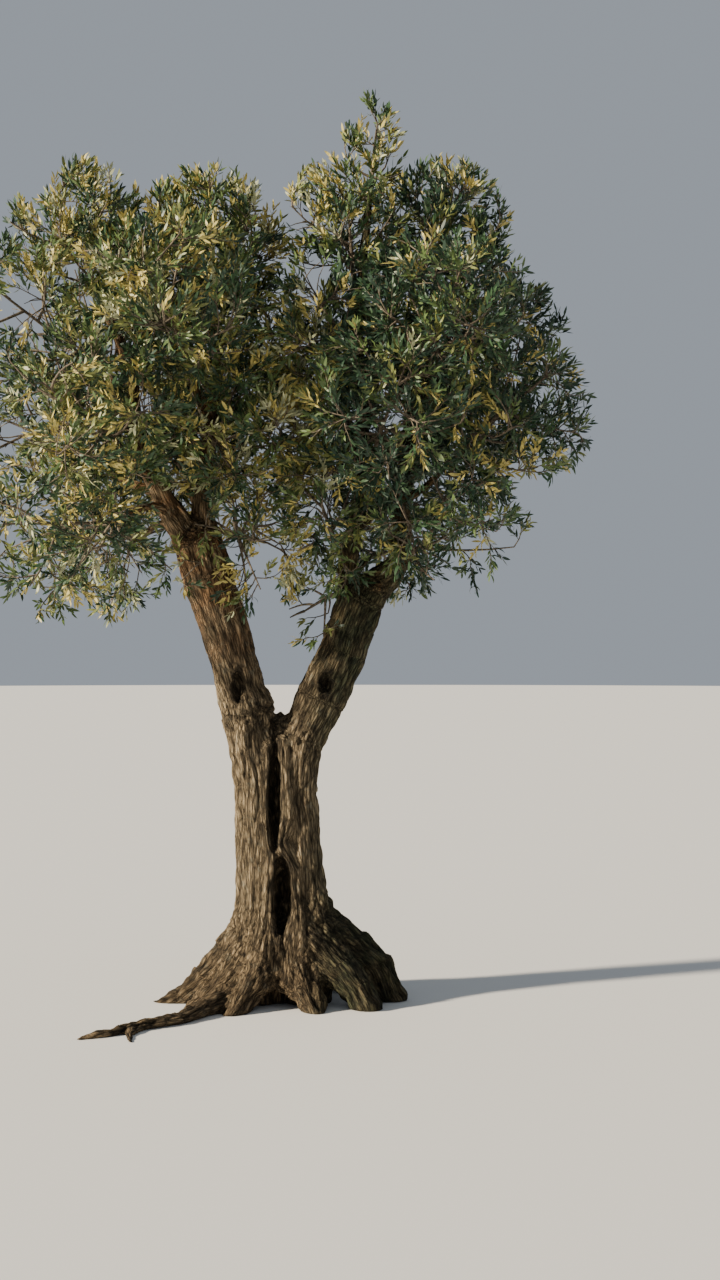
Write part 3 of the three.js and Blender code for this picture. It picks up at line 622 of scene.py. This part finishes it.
# Materials
class Shading:
    """A new material, with short ways to make and join its nodes."""

    def __init__(self, name):
        self.material = bpy.data.materials.new(name)
        self.material.use_nodes = True
        self.tree = self.material.node_tree

    def fill(self, node, inputs):
        """Joins each input to the output given for it, or gives it a plain value."""
        for name, value in inputs.items():
            socket = node.inputs[name]
            if isinstance(value, bpy.types.NodeSocket):
                self.tree.links.new(value, socket)
            elif isinstance(value, tuple) and len(value) < len(socket.default_value):
                socket.default_value = (*value, 1)
            else:
                socket.default_value = value

    def node(self, kind, inputs, **settings):
        node = self.tree.nodes.new("ShaderNode" + kind)
        for name, value in settings.items():
            setattr(node, name, value)
        self.fill(node, inputs)
        return node

    def finished(self, inputs):
        """The material, with these inputs of its surface."""
        self.fill(self.tree.nodes["Principled BSDF"], inputs)
        return self.material

    def place(self):
        return self.node("TexCoord", {}).outputs["Object"]

    def point_data(self, name, output):
        return self.node("Attribute", {}, attribute_name=name).outputs[output]

    def noise(self, vector, scale, detail, roughness):
        inputs = {"Vector": vector, "Scale": scale, "Detail": detail, "Roughness": roughness}
        return self.node("TexNoise", inputs).outputs["Fac"]

    def shifted(self, vector, amount, scale):
        """The vector, moved about by noise."""
        wobble = self.node("TexNoise", {"Vector": vector, "Scale": scale, "Detail": 3})
        inputs = {0: wobble.outputs["Color"], 1: (amount, amount, amount), 2: vector}
        return self.node("VectorMath", inputs, operation="MULTIPLY_ADD").outputs["Vector"]

    def cracks(self, vector, scale):
        """Distance to the nearest edge of a net of cells."""
        inputs = {"Vector": vector, "Scale": scale}
        return self.node("TexVoronoi", inputs, feature="DISTANCE_TO_EDGE").outputs["Distance"]

    def ramp(self, value, *stops):
        """The value turned into a colour by stops of (position, colour), where a number is a grey."""
        node = self.node("ValToRGB", {"Fac": value})
        elements = node.color_ramp.elements
        while len(elements) < len(stops):
            elements.new(0.5)
        for element, (position, color) in zip(elements, stops):
            element.position = position
            element.color = (*color, 1) if isinstance(color, tuple) else (color, color, color, 1)
        return node.outputs["Color"]

    def mix(self, factor, a, b, blend="MIX"):
        inputs = {"Factor": factor, 6: a, 7: b}
        return self.node("Mix", inputs, data_type="RGBA", blend_type=blend).outputs[2]

    def times(self, a, b):
        return self.mix(1.0, a, b, "MULTIPLY")

    def spread(self, value, start, end):
        """0 at the start and 1 at the end, whichever of the two is the greater."""
        inputs = {"Value": value, "From Min": start, "From Max": end}
        return self.node("MapRange", inputs).outputs["Result"]

    def bump(self, height, strength, distance, under=None):
        inputs = {"Strength": strength, "Distance": distance, "Height": height}
        if under is not None:
            inputs["Normal"] = under
        return self.node("Bump", inputs).outputs["Normal"]


# Patterns of the bark: scale, detail and roughness
STREAKS = (110, 7, 0.75)
PITTING = (190, 5, 0.65)
FLAKES = (5.5, 5, 0.6)
LICHEN = (16, 6, 0.7)
MOSS_AND_SHADE_NOISE = (7, 5, 0.65)
CRACK_SCALE = 64
WOBBLE = (0.012, 50)  # amount and scale
FURROW_TINT = (0.095, 0.066, 0.042)
RIDGE_TINT = (0.3, 0.23, 0.14)
CREST_TINT = tuple(1.35 * c for c in RIDGE_TINT)
FLAKED_TINT = (0.36, 0.16, 0.06)
FLAKED_SHARE = 0.7
FLAKED_FROM, FLAKED_TO = 1.8, 2.6
LICHEN_TINT = (0.27, 0.27, 0.21)
# Moss and painted shade grey and darken the bark of the right limb and side, and the bark is darker towards
# the foot
MOSS_AND_SHADE_TINT = (0.29, 0.42, 0.38)
MOSS_AND_SHADE_FROM, MOSS_AND_SHADE_TO = 0.12, 0.34
FOOT_DARKENING_TINT = (0.66, 0.62, 0.58)
FOOT_DARKENING_FROM, FOOT_DARKENING_TO = 0.15, 0.75


def bark_color(bark, streaks, cracks, relief):
    """Furrows darkened with painted shade and pale ridges, with flaked places, moss and painted shade on the
    right side, and darker bark towards the foot.
    """
    place = bark.place()
    apart = bark.node("SeparateXYZ", {"Vector": place})
    across, up = apart.outputs["X"], apart.outputs["Z"]
    color = bark.ramp(streaks, (0.34, FURROW_TINT), (0.53, RIDGE_TINT), (0.68, CREST_TINT))
    flaked = bark.ramp(bark.noise(place, *FLAKES), (0.42, 0.15), (0.6, 0.8))
    flaked = bark.times(flaked, bark.spread(up, FLAKED_FROM, FLAKED_TO))
    color = bark.mix(flaked, color, bark.mix(FLAKED_SHARE, color, FLAKED_TINT))
    lichen = bark.ramp(bark.noise(place, *LICHEN), (0.56, 0.0), (0.66, 0.45))
    color = bark.mix(lichen, color, LICHEN_TINT)
    # Moss patches with painted shade: the right side is greyed and darkened as if out of the sun
    mossy_and_shaded = bark.ramp(bark.noise(place, *MOSS_AND_SHADE_NOISE), (0.34, 0.45), (0.56, 1.0))
    mossy_and_shaded = bark.times(mossy_and_shaded, bark.spread(across, MOSS_AND_SHADE_FROM, MOSS_AND_SHADE_TO))
    color = bark.mix(mossy_and_shaded, color, bark.times(color, MOSS_AND_SHADE_TINT))
    # The bark is darker towards the foot, more so the lower it is
    darker_foot = bark.spread(up, FOOT_DARKENING_TO, FOOT_DARKENING_FROM)
    color = bark.mix(darker_foot, color, bark.times(color, FOOT_DARKENING_TINT))
    color = bark.times(color, bark.ramp(cracks, (0.0, 0.26), (0.13, 0.7), (0.32, 1.1)))
    # Painted shade: the relief value darkens the bark down in its furrows, and on the trunk in its hollows
    return bark.times(color, bark.ramp(relief, (0.0, 0.1), (0.1, 0.3), (0.36, 0.74), (0.62, 1.08)))


def bark_material():
    """Grey-brown bark in small plates with dark cracks, more orange where it has flaked higher up."""
    bark = Shading("bark")
    wavy = bark.shifted(bark.point_data("grain", "Vector"), *WOBBLE)
    cracks = bark.cracks(wavy, CRACK_SCALE)
    streaks = bark.noise(wavy, *STREAKS)
    color = bark_color(bark, streaks, cracks, bark.point_data("relief", "Fac"))
    plates = bark.ramp(cracks, (0.0, 0.0), (0.22, 1.0))
    normal = bark.bump(plates, 0.9, 0.01)
    normal = bark.bump(streaks, 0.9, 0.016, normal)
    normal = bark.bump(bark.noise(wavy, *PITTING), 0.8, 0.006, normal)
    inputs = {"Base Color": color, "Roughness": 0.92, "Specular IOR Level": 0.2, "Normal": normal}
    return bark.finished(inputs)


def twig_material():
    """Thin bark, too slender for relief."""
    twig = Shading("twig_bark")
    dark, brown, pale = (0.04, 0.03, 0.021), (0.11, 0.085, 0.058), (0.19, 0.16, 0.115)
    color = twig.ramp(twig.noise(twig.place(), 60, 5, 0.6), (0.35, dark), (0.5, brown), (0.68, pale))
    return twig.finished({"Base Color": color, "Roughness": 0.85})


def leaf_material(name, color, roughness):
    inputs = {"Base Color": color, "Roughness": roughness, "Specular IOR Level": 0.4}
    return Shading(name).finished(inputs)


# Trunk, limbs and roots in one piece of bark
SURFACE_ROOT_BLEND = 0.04
LEADER_BLEND = 0.05
LEADER_STEPS = 6
FOOT_FADE = 0.03  # the relief fades out over this height above the ground
HOLLOW_FADE = 0.5
HOLLOW_ROUGHNESS = 0.8
HOLLOW_SHADE = 0.2
HOLLOW_RAGGED = 0.6
RAGGED_SIZE = 0.045


def thick_chains():
    """Every chain of thick wood, with how softly it blends."""
    chains = [(rings, STEM_BLEND) for rings in STEMS.values()]
    chains += [(root_chain(*root), ROOT_BLEND) for root in ROOTS]
    chains += [(rings, SURFACE_ROOT_BLEND) for rings in SURFACE_ROOTS]
    leaders = [leader for lobe in LOBES for leader in lobe["leaders"]]
    chains += [(smooth_path(leader[:3], LEADER_STEPS), LEADER_BLEND) for leader in leaders]
    return chains


def out_of_hollows(points):
    """0 on the walls of the hollows and 1 a little way out of them, with a ragged edge between."""
    share = np.ones(len(points))
    for centre, half in HOLLOWS:
        out = norm((points - np.array(centre)) / np.array(half), axis=1)
        out = out - 1 + HOLLOW_RAGGED * noise(points / RAGGED_SIZE)
        share = np.minimum(share, np.clip(out / HOLLOW_FADE, 0, 1))
    return share


def make_trunk(material):
    blended = thick_chains()
    vertices, quads = field_surface(wood_field(blended))
    normals = vertex_normals(vertices, quads)
    height, ridges, grain = bark_relief(vertices, [rings for rings, _ in blended])
    out = out_of_hollows(vertices)
    height = height * np.clip(vertices[:, 2] / FOOT_FADE, 0, 1)
    height = height * (HOLLOW_ROUGHNESS + (1 - HOLLOW_ROUGHNESS) * out)
    vertices = vertices + normals * height[:, None]
    vertices[:, 2] = np.maximum(vertices[:, 2], 0)
    piece = make_mesh("bark_trunk", vertices, [quads], True, material)
    # Painted shade: the walls of the hollows are darkened through the relief value
    lit = HOLLOW_SHADE + (1 - HOLLOW_SHADE) * out
    add_point_data(piece.data, grain, ridges * lit)
    return piece


# Boughs as round tubes with the bark's relief
BOUGH_SIDES = 14
BOUGH_STEP = 0.03
LEAST_RINGS = 8
LEAST_RADIUS = 0.01
SWAY = 0.022
SWAY_LENGTH = 0.3
# A bough swells by this share where it springs from its limb, over about this length
COLLAR = 0.45
COLLAR_LENGTH = 0.07
RELIEF_RADIUS = 0.09  # a bough of this radius has the full relief, and a thinner one its share
RELIEF_LEAST = 0.15


def swaying_path(mass, random):
    """The bough's own path with small irregular bends, and its length."""
    length = norm(np.diff(mass.bough[:, :3], axis=0), axis=1).sum()
    path = smooth_path(mass.bough, max(int(length / BOUGH_STEP), LEAST_RINGS))
    wave = np.sin(np.linspace(0, 1, len(path)) * np.pi)
    along = np.linspace(0, length / SWAY_LENGTH, len(path))
    lanes = [np.full((len(path), 2), lane) for lane in random.uniform(0, 90, 3)]
    sway = np.stack([noise(np.column_stack([along, lane])) for lane in lanes], axis=1)
    path[:, :3] += SWAY * wave[:, None] * sway
    return path, length


def make_boughs(masses, material, random):
    parts = []
    offset = 0
    for mass in masses:
        path, length = swaying_path(mass, random)
        centre, radius = path[:, :3], np.maximum(path[:, 3], LEAST_RADIUS)
        if mass.name not in LEADER_MASSES:
            radius = radius * (1 + COLLAR * np.exp(-np.linspace(0, length, len(path)) / COLLAR_LENGTH))
        vertices, quads = tubes(centre[None], radius[None], BOUGH_SIDES)
        height, ridges, grain = bark_relief(vertices, [np.column_stack([centre, radius])])
        height = height * np.repeat(np.clip(radius / RELIEF_RADIUS, RELIEF_LEAST, 1), BOUGH_SIDES)
        raised = vertices + vertex_normals(vertices, quads) * height[:, None]
        parts.append((raised, quads + offset, grain, ridges))
        offset += len(vertices)
    vertices, quads, grain, ridges = (np.concatenate(arrays) for arrays in zip(*parts))
    piece = make_mesh("bark_boughs", vertices, [quads], True, material)
    add_point_data(piece.data, grain, ridges)
    return piece


# Twigs. Each mass grows its main twigs from a stem, side twigs from these towards points spread evenly
# through its space, and leafy shoots from the side twigs. A twig is its path and its radius at either end.
TWIGS = 13
LEAST_TWIGS = 5
TWIG_POINTS = 5
TWIG_REACH = (0.66, 0.9)
TWIG_RADII = (0.0095, 0.004)
FULL_HALF = 0.55  # half width from which a mass has all its twigs
LEAST_SPAN = 0.08
STEM_BEND = 0.16
STEM_SHORT = 0.2
STEM_LEAST = 0.06
STEM_TIP = 0.005
# A twig leaves the stem this much lower for each metre that its tip stands off, within these limits
TWIG_SLANT = 0.7
TWIG_FIRST = 0.008
TWIG_LAST = 0.92
# How far twigs sag or rise, as a share of their span
TWIG_RISE = 0.5
TWIG_SWAY = 0.16
RISING = {"skirt": -0.05, "hanging_spray": -0.35, "crest": 0.8, "spire": 1.0, "shoulder": 0.6}
USUAL_RISING = 0.4

SIDE_POINTS = 4
SIDE_RADII = (0.0045, 0.0024)
SIDE_SPAN = (0.05, 0.5)
SIDE_RISE = 0.3
SIDE_AHEAD = 0.55
SAMPLES = 12
# Turning right back costs a side twig twice its span, and being too near costs a little more
SPAN_COST = (1.5, 0.5)
TOO_NEAR = 0.12
NEAR_COST = 0.1
# Side twigs reach for points this far apart, nearer in a small mass
FILL_STEP = 0.162
SMALL_HALF = 0.5
SMALL_STEP = 0.86
FILL_SHARE = 0.86
FILL_OVER = 0.02
# The crown is looser towards its left edge and its foot: axis, where this starts, over how long, share
LOOSE = ((0, -1.0, 0.45, 0.56), (2, 3.2, 0.5, 0.46))

SHOOT_RADII = (0.0024, 0.001)
SHOOTS_AT = (0.3, 0.55, 0.8, 1.0)
SHOOT_LENGTH = (0.09, 0.18)
SHOOT_LEAST = 0.04
SHOOT_SHORT = 0.03
SHOOT_OVERLAP = 0.09  # so far shoots may run into the space of the next mass
SHOOT_LEAN = (30, 60)
LAST_LEAN = 0.2
SHOOT_TURN = 2.4
SHOOT_OUTWARD = 0.35
UPRIGHT = 0.9
FULL_TURN = 6.28


def turned(axes, tilt, around):
    """Directions that lean from each axis by the tilt, towards a side turned about it."""
    seed = np.where(np.abs(axes[:, 2:]) > UPRIGHT, ACROSS, UP)
    across = units(np.cross(seed, axes))
    other = np.cross(axes, across)
    side = np.cos(around)[:, None] * across + np.sin(around)[:, None] * other
    return np.cos(tilt)[:, None] * axes + np.sin(tilt)[:, None] * side


def bent_path(start, end, bend, count):
    t = np.linspace(0, 1, count)[:, None]
    return start + (end - start) * t + bend * (t * (1 - t))


def main_twigs(mass, random, rising):
    """The mass's stem, and its main twigs: evenly spread about the middle, like the solids' twigs."""
    tip, back = mass.bough[-1][:3], mass.bough[-2][:3]
    bend = tip + unit(tip - back) * mass.half[0] * STEM_BEND
    outward = unit(mass.centre - bend)
    reach = mass.reach(bend, outward[None])[0]
    end = bend + outward * max(reach - STEM_SHORT, STEM_LEAST)
    stem = smooth_path(np.array([tip, bend, (bend + end) / 2, end]), TWIG_POINTS)
    twigs = [(stem, mass.bough[-1][3], STEM_TIP)]
    length = norm(end - bend)
    count = max(int(TWIGS * min(mass.half[0] / FULL_HALF, 1) ** 1.5), LEAST_TWIGS)
    for i in range(count):
        tilt = math.acos(1 - 2 * (i + 0.7) / (count + 0.9))
        spin = GOLDEN_ANGLE * i + random.uniform(0, 0.5)
        direction = turned(outward[None], np.array([tilt]), np.array([spin]))
        reach = mass.reach(mass.centre, direction)[0]
        tip = mass.centre + direction[0] * reach * random.uniform(*TWIG_REACH)
        along = (tip - bend) @ outward
        aside = norm(tip - bend - along * outward)
        root = bend + outward * min(max(along - TWIG_SLANT * aside, TWIG_FIRST), TWIG_LAST * length)
        span = norm(tip - root)
        if span > LEAST_SPAN:
            curve = UP * -rising * span * TWIG_RISE + random.normal(size=3) * TWIG_SWAY * span
            twigs.append((bent_path(root, tip, curve, TWIG_POINTS), *TWIG_RADII))
    return twigs


def fill_points(mass, random):
    """One point in each cell of a shaken grid through the mass's space, fewer where the crown is loose."""
    step = FILL_STEP if mass.half[0] > SMALL_HALF else FILL_STEP * SMALL_STEP
    lines = [np.arange(-h, h, step) for h in mass.half]
    grid = np.stack(np.meshgrid(*lines, indexing="ij"), axis=-1).reshape(-1, 3)
    points = mass.centre + grid + random.uniform(0, step, grid.shape)
    inside = (((points - mass.centre) / mass.half) ** 2).sum(axis=1) < FILL_SHARE
    room = mass.limits - (points - mass.centre) @ mass.normals.T
    loose = [np.clip((at - points[:, n]) / over, 0, 1) * share for n, at, over, share in LOOSE]
    kept = random.uniform(0, 1, len(points)) > np.max(loose, axis=0)
    return points[inside & kept & (room > -FILL_OVER).all(axis=1)]


def side_twigs(mass, twigs, random, rising):
    """Paths from the main twigs' nearest places that head that way to the mass's points, and the points."""
    finer = [smooth_path(path, SAMPLES) for path, _, _ in twigs]
    samples = np.vstack([path[2:] for path in finer])
    headings = units(np.vstack([np.gradient(path, axis=0)[2:] for path in finer]))
    targets = fill_points(mass, random)
    way = targets[:, None] - samples[None]
    span = norm(way, axis=2)
    aligned = (way * headings).sum(axis=2) / np.maximum(span, 1e-6)
    cost = span * (SPAN_COST[0] - SPAN_COST[1] * aligned) + NEAR_COST * np.maximum(TOO_NEAR - span, 0)
    nearest = cost.argmin(axis=1)
    span = span[np.arange(len(targets)), nearest]
    keep = (span > SIDE_SPAN[0]) & (span < SIDE_SPAN[1])
    targets, span, nearest = targets[keep], span[keep], nearest[keep]
    bends = headings[nearest] * span[:, None] * SIDE_AHEAD - UP * rising * span[:, None] * SIDE_RISE
    sides = [bent_path(a, b, c, SIDE_POINTS) for a, b, c in zip(samples[nearest], targets, bends)]
    return sides, targets


def shoots_on(mass, sides, targets, random, rising):
    """Each shoot's foot, direction and length."""
    feet, ways, lengths = [], [], []
    ahead = units(np.array([side[-1] - side[-2] for side in sides]))
    outward = units((targets - mass.centre) / mass.half**2)
    spin = random.uniform(0, FULL_TURN, len(sides))
    for number, u in enumerate(SHOOTS_AT):
        foot = np.array([path_point(side, u) for side in sides])
        straighter = LAST_LEAN if u == SHOOTS_AT[-1] else 1
        lean = np.radians(random.uniform(*SHOOT_LEAN, len(foot))) * straighter
        way = turned(ahead, lean, spin + number * SHOOT_TURN)
        way = units(way + outward * SHOOT_OUTWARD + UP * rising)
        room = mass.reach(foot, way, SHOOT_OVERLAP)
        size = np.minimum(random.uniform(*SHOOT_LENGTH, len(foot)), room - SHOOT_SHORT)
        good = size > SHOOT_LEAST
        feet.append(foot[good])
        ways.append(way[good])
        lengths.append(size[good])
    return np.vstack(feet), np.vstack(ways), np.concatenate(lengths)


# Where shoots are left out
WOOD_MARGIN = 0.035
# Where along a shoot it is tested against the wood, and against the openings
WOOD_TEST = 0.6
OPENING_TEST = 0.8
BOX_SHARE = 0.03
BOX_OVER = 0.008
# Openings through to the sky: x and height where their lines pass the trunk, and radius
OPENINGS = [
    (0.11, 4.69, 0.09), (0.2, 4.39, 0.11), (0.165, 4.25, 0.07), (-1.27, 4.39, 0.08), (-1.56, 4.16, 0.16),
    (-1.18, 4.19, 0.06), (-1.0, 3.92, 0.07), (-0.86, 3.62, 0.07), (0.665, 3.52, 0.08), (-1.63, 3.4, 0.11),
    (1.4, 3.94, 0.06), (1.45, 3.01, 0.1), (-0.05, 2.7, 0.09),
]


def clear_of_wood(points, chains):
    return np.all([grain_on_chain(points, rings)[0] > WOOD_MARGIN for rings in chains], axis=0)


def in_openings(points):
    """Which points stand in an opening, whose lines all meet at the camera."""
    eye = np.array(CAMERA_AT)
    onto = eye[1] / (eye[1] - points[:, 1])
    seen = eye + (points - eye) * onto[:, None]
    found = np.zeros(len(points), dtype=bool)
    for x, z, radius in OPENINGS:
        found |= np.hypot(seen[:, 0] - x, seen[:, 2] - z) < radius
    return found


def inside_box(tips):
    """Shoots whose leaves stay within the solids' box and a little over."""
    low, high = np.array(cad_bounds[0]), np.array(cad_bounds[1])
    over = BOX_SHARE * (high - low) + BOX_OVER - LEAF_LENGTH[1]
    return ((tips > low - over) & (tips < high + over)).all(axis=1)


# Leaves: opposite pairs on each shoot, narrow, with a slight curl
LEAF_LENGTH = (0.052, 0.08)
LEAF_WIDTH = 0.25
LEAF_OPEN = (22, 54)
LEAF_CLOSING = 0.35  # by this share the last pair of a shoot opens less
LEAF_SCATTER = 0.1
LEAF_ROLL = 0.35
LEAF_CURL = 0.09
LEAF_FOLD = 0.3
LEAF_WIDTHS = (0.85, 1.15)
LEAST_PAIRS = 2
FIRST_PAIR = 0.6
PAIR_SPACING = 0.024
PAIR_SCATTER = 0.25
# The longest leaves stand here along a shoot, and others are shorter by this share of the way from it
LONGEST_AT = 0.45
SHORTER = 0.3
# A leaf's corners, each as the share of its length and of its half width, and its faces
LEAF_CORNERS = ((0, 0.0), (0.34, 1.0), (0.34, -1.0), (0.7, 0.78), (0.7, -0.78), (1, 0.0))
LEAF_TRIANGLES = ([0, 1, 2], [3, 5, 4])
LEAF_QUAD = [1, 3, 4, 2]


def leaf_mesh(feet, ways, lengths, random):
    """The leaves along each shoot, as vertices, triangles and quads."""
    pairs = np.maximum((lengths / PAIR_SPACING).astype(int), LEAST_PAIRS)
    shoot = np.repeat(np.arange(len(feet)), pairs)
    order = np.concatenate([np.arange(n) for n in pairs])
    t = (order + FIRST_PAIR) / pairs[shoot]
    axis = ways[shoot]
    spin = order * (np.pi / 2) + random.uniform(0, FULL_TURN, len(feet))[shoot]
    spin = spin + random.normal(0, PAIR_SCATTER, len(spin))
    root = feet[shoot] + axis * (t * lengths[shoot])[:, None]
    vertices = []
    for turn in (0, np.pi):
        opening = np.radians(random.uniform(*LEAF_OPEN, len(root))) * (1 - LEAF_CLOSING * t)
        along = turned(axis, -opening, spin + turn)
        along = units(along + random.normal(0, LEAF_SCATTER, along.shape))
        flat = np.cross(along, axis) + random.normal(0, LEAF_ROLL, along.shape)
        flat = units(flat - (flat * along).sum(axis=1, keepdims=True) * along)
        normal = np.cross(along, flat)
        size = random.uniform(*LEAF_LENGTH, len(root)) * (1 - SHORTER * np.abs(t - LONGEST_AT))
        half = size * LEAF_WIDTH / 2 * random.uniform(*LEAF_WIDTHS, len(root))
        curl = size * random.normal(0, LEAF_CURL, len(root))
        for u, share in LEAF_CORNERS:
            lift = curl * 4 * u * (u - 1) + half * LEAF_FOLD * abs(share)
            place = root + along * (size * u)[:, None] + flat * (half * share)[:, None]
            vertices.append(place + normal * lift[:, None])
    vertices = np.stack(vertices, axis=1).reshape(-1, 3)
    first = np.arange(len(vertices) // len(LEAF_CORNERS))[:, None] * len(LEAF_CORNERS)
    triangles = np.vstack([first + corners for corners in LEAF_TRIANGLES])
    return vertices, triangles, first + LEAF_QUAD


# Tints, dealt out by shoot. name, share of the shoots from the shaded ones up, colour, roughness
TINTS = [
    ("leaves_shade", 0.22, (0.016, 0.04, 0.022), 0.5),
    ("leaves_deep", 0.23, (0.032, 0.07, 0.03), 0.46),
    ("leaves_green", 0.2, (0.08, 0.124, 0.038), 0.44),
    ("leaves_olive", 0.15, (0.165, 0.185, 0.055), 0.44),
    # Painted sunlight: this pale cream tint stands for leaves lit by the low sun
    ("leaves_sunlit", 0.14, (0.44, 0.375, 0.115), 0.48),
    ("leaves_silver", 0.06, (0.37, 0.39, 0.23), 0.5),
]
# Drifts of paler and darker shoots: size, place in the noise and strength
DRIFTS = ((0.35, 0, 0.8), (0.12, 7, 0.5))
TONE_SCATTER = 0.45
# Painted light and shade: the right lobe is darker, as if shaded, and the middle and the top are paler, as
# if sunlit
RIGHT_SHADE = 0.35
RIGHT_WIDTH = 0.4
MIDDLE_LIGHT = 0.45
MIDDLE_WIDTH = 0.45
TOP_LIGHT = 0.65
TOP_FROM, TOP_TO = 4.4, 5.1


def shoot_ranks(feet, random):
    """The place of each shoot between the darkest, 0, and the palest, 1."""
    tone = sum(strength * noise(feet / size + at) for size, at, strength in DRIFTS)
    tone = tone + random.normal(0, TONE_SCATTER, len(feet))
    tone -= RIGHT_SHADE * np.clip(feet[:, 0] / RIGHT_WIDTH, 0, 1)
    tone += MIDDLE_LIGHT * np.clip(1 - np.abs(feet[:, 0]) / MIDDLE_WIDTH, 0, 1)
    tone += TOP_LIGHT * np.clip((feet[:, 2] - TOP_FROM) / (TOP_TO - TOP_FROM), 0, 1)
    return np.argsort(np.argsort(tone)) / len(tone)


def make_leaves(feet, ways, lengths, random):
    rank = shoot_ranks(feet, random)
    pieces = []
    low = 0.0
    for name, share, color, roughness in TINTS:
        chosen = (rank >= low) & (rank < low + share)
        low += share
        vertices, *faces = leaf_mesh(feet[chosen], ways[chosen], lengths[chosen], random)
        material = leaf_material(name, color, roughness)
        pieces.append(make_mesh(name, vertices, faces, False, material))
    return pieces


def make_twigs(name, items, sides, material):
    paths = np.array([path for path, _, _ in items])
    thick = np.array([a for _, a, _ in items])[:, None]
    thin = np.array([b for _, _, b in items])[:, None]
    radii = thick + (thin - thick) * np.linspace(0, 1, paths.shape[1])[None]
    vertices, quads = tubes(paths, radii, sides)
    return make_mesh(name, vertices, [quads], True, material)


def make_crown(masses, wood_chains, twig_bark, random):
    twigs, sides, shoots = [], [], []
    for mass in masses:
        rising = RISING.get(mass.tier, USUAL_RISING)
        own_twigs = main_twigs(mass, random, rising)
        own_sides, targets = side_twigs(mass, own_twigs, random, rising)
        twigs += own_twigs
        sides += [(side, *SIDE_RADII) for side in own_sides]
        shoots.append(shoots_on(mass, own_sides, targets, random, rising))
    feet, ways, lengths = (np.concatenate(parts) for parts in zip(*shoots))
    run = ways * lengths[:, None]
    keep = clear_of_wood(feet + run * WOOD_TEST, wood_chains) & inside_box(feet + run)
    keep &= ~in_openings(feet + run * OPENING_TEST)
    feet, ways, lengths, ends = feet[keep], ways[keep], lengths[keep], (feet + run)[keep]
    shoots = [(np.array([a, (a + b) / 2, b]), *SHOOT_RADII) for a, b in zip(feet, ends)]
    pieces = [
        make_twigs("twigs_main", twigs, 5, twig_bark),
        make_twigs("twigs_side", sides, 3, twig_bark),
        make_twigs("twigs_shoots", shoots, 3, twig_bark),
    ]
    return pieces + make_leaves(feet, ways, lengths, random)


# Floor and light
FLOOR_RADIUS = 75.0
FLOOR_SIDES = 120
FLOOR_BELOW = 0.002


def make_floor():
    mesh = bpy.data.meshes.new("floor")
    turns = [2 * math.pi * i / FLOOR_SIDES for i in range(FLOOR_SIDES)]
    edge = [(FLOOR_RADIUS * math.cos(turn), FLOOR_RADIUS * math.sin(turn), 0) for turn in turns]
    mesh.from_pydata(edge, [], [range(FLOOR_SIDES)])
    inputs = {"Base Color": (0.72, 0.71, 0.69), "Roughness": 0.9}
    mesh.materials.append(Shading("floor").finished(inputs))
    floor = bpy.data.objects.new("floor", mesh)
    floor.location = (0, 0, -FLOOR_BELOW)
    bpy.context.scene.collection.objects.link(floor)


def make_lights():
    sun = bpy.data.lights.new("sun", "SUN")
    sun.energy = 11.0
    sun.angle = math.radians(4)
    sun.color = (1.0, 0.88, 0.69)
    lamp = bpy.data.objects.new("sun", sun)
    lamp.rotation_euler = (math.radians(68), 0, math.radians(-68))
    bpy.context.scene.collection.objects.link(lamp)
    world = bpy.data.worlds.new("world")
    world.use_nodes = True
    background = world.node_tree.nodes["Background"]
    background.inputs["Color"].default_value = (0.66, 0.73, 0.82, 1)
    background.inputs["Strength"].default_value = 0.48
    bpy.context.scene.world = world


def build():
    make_camera()
    masses = crown_masses()
    grow_leaders(masses)
    grow_boughs(masses)
    random = np.random.default_rng(SEED)
    bark = bark_material()
    trunk = make_trunk(bark)
    boughs = make_boughs(masses, bark, random)
    chains = [rings for rings, _ in thick_chains()] + [mass.bough for mass in masses]
    crown = make_crown(masses, chains, twig_material(), random)
    nodes = list(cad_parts)
    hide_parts(*[n for n in nodes if n.startswith(("trunk", "limb"))])
    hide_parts(*[n for n in nodes if n.startswith("bough")])
    foliage = [n for n in nodes if n.startswith("foliage")]
    for piece in crown:
        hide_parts(*foliage)
    make_floor()
    make_lights()


build()
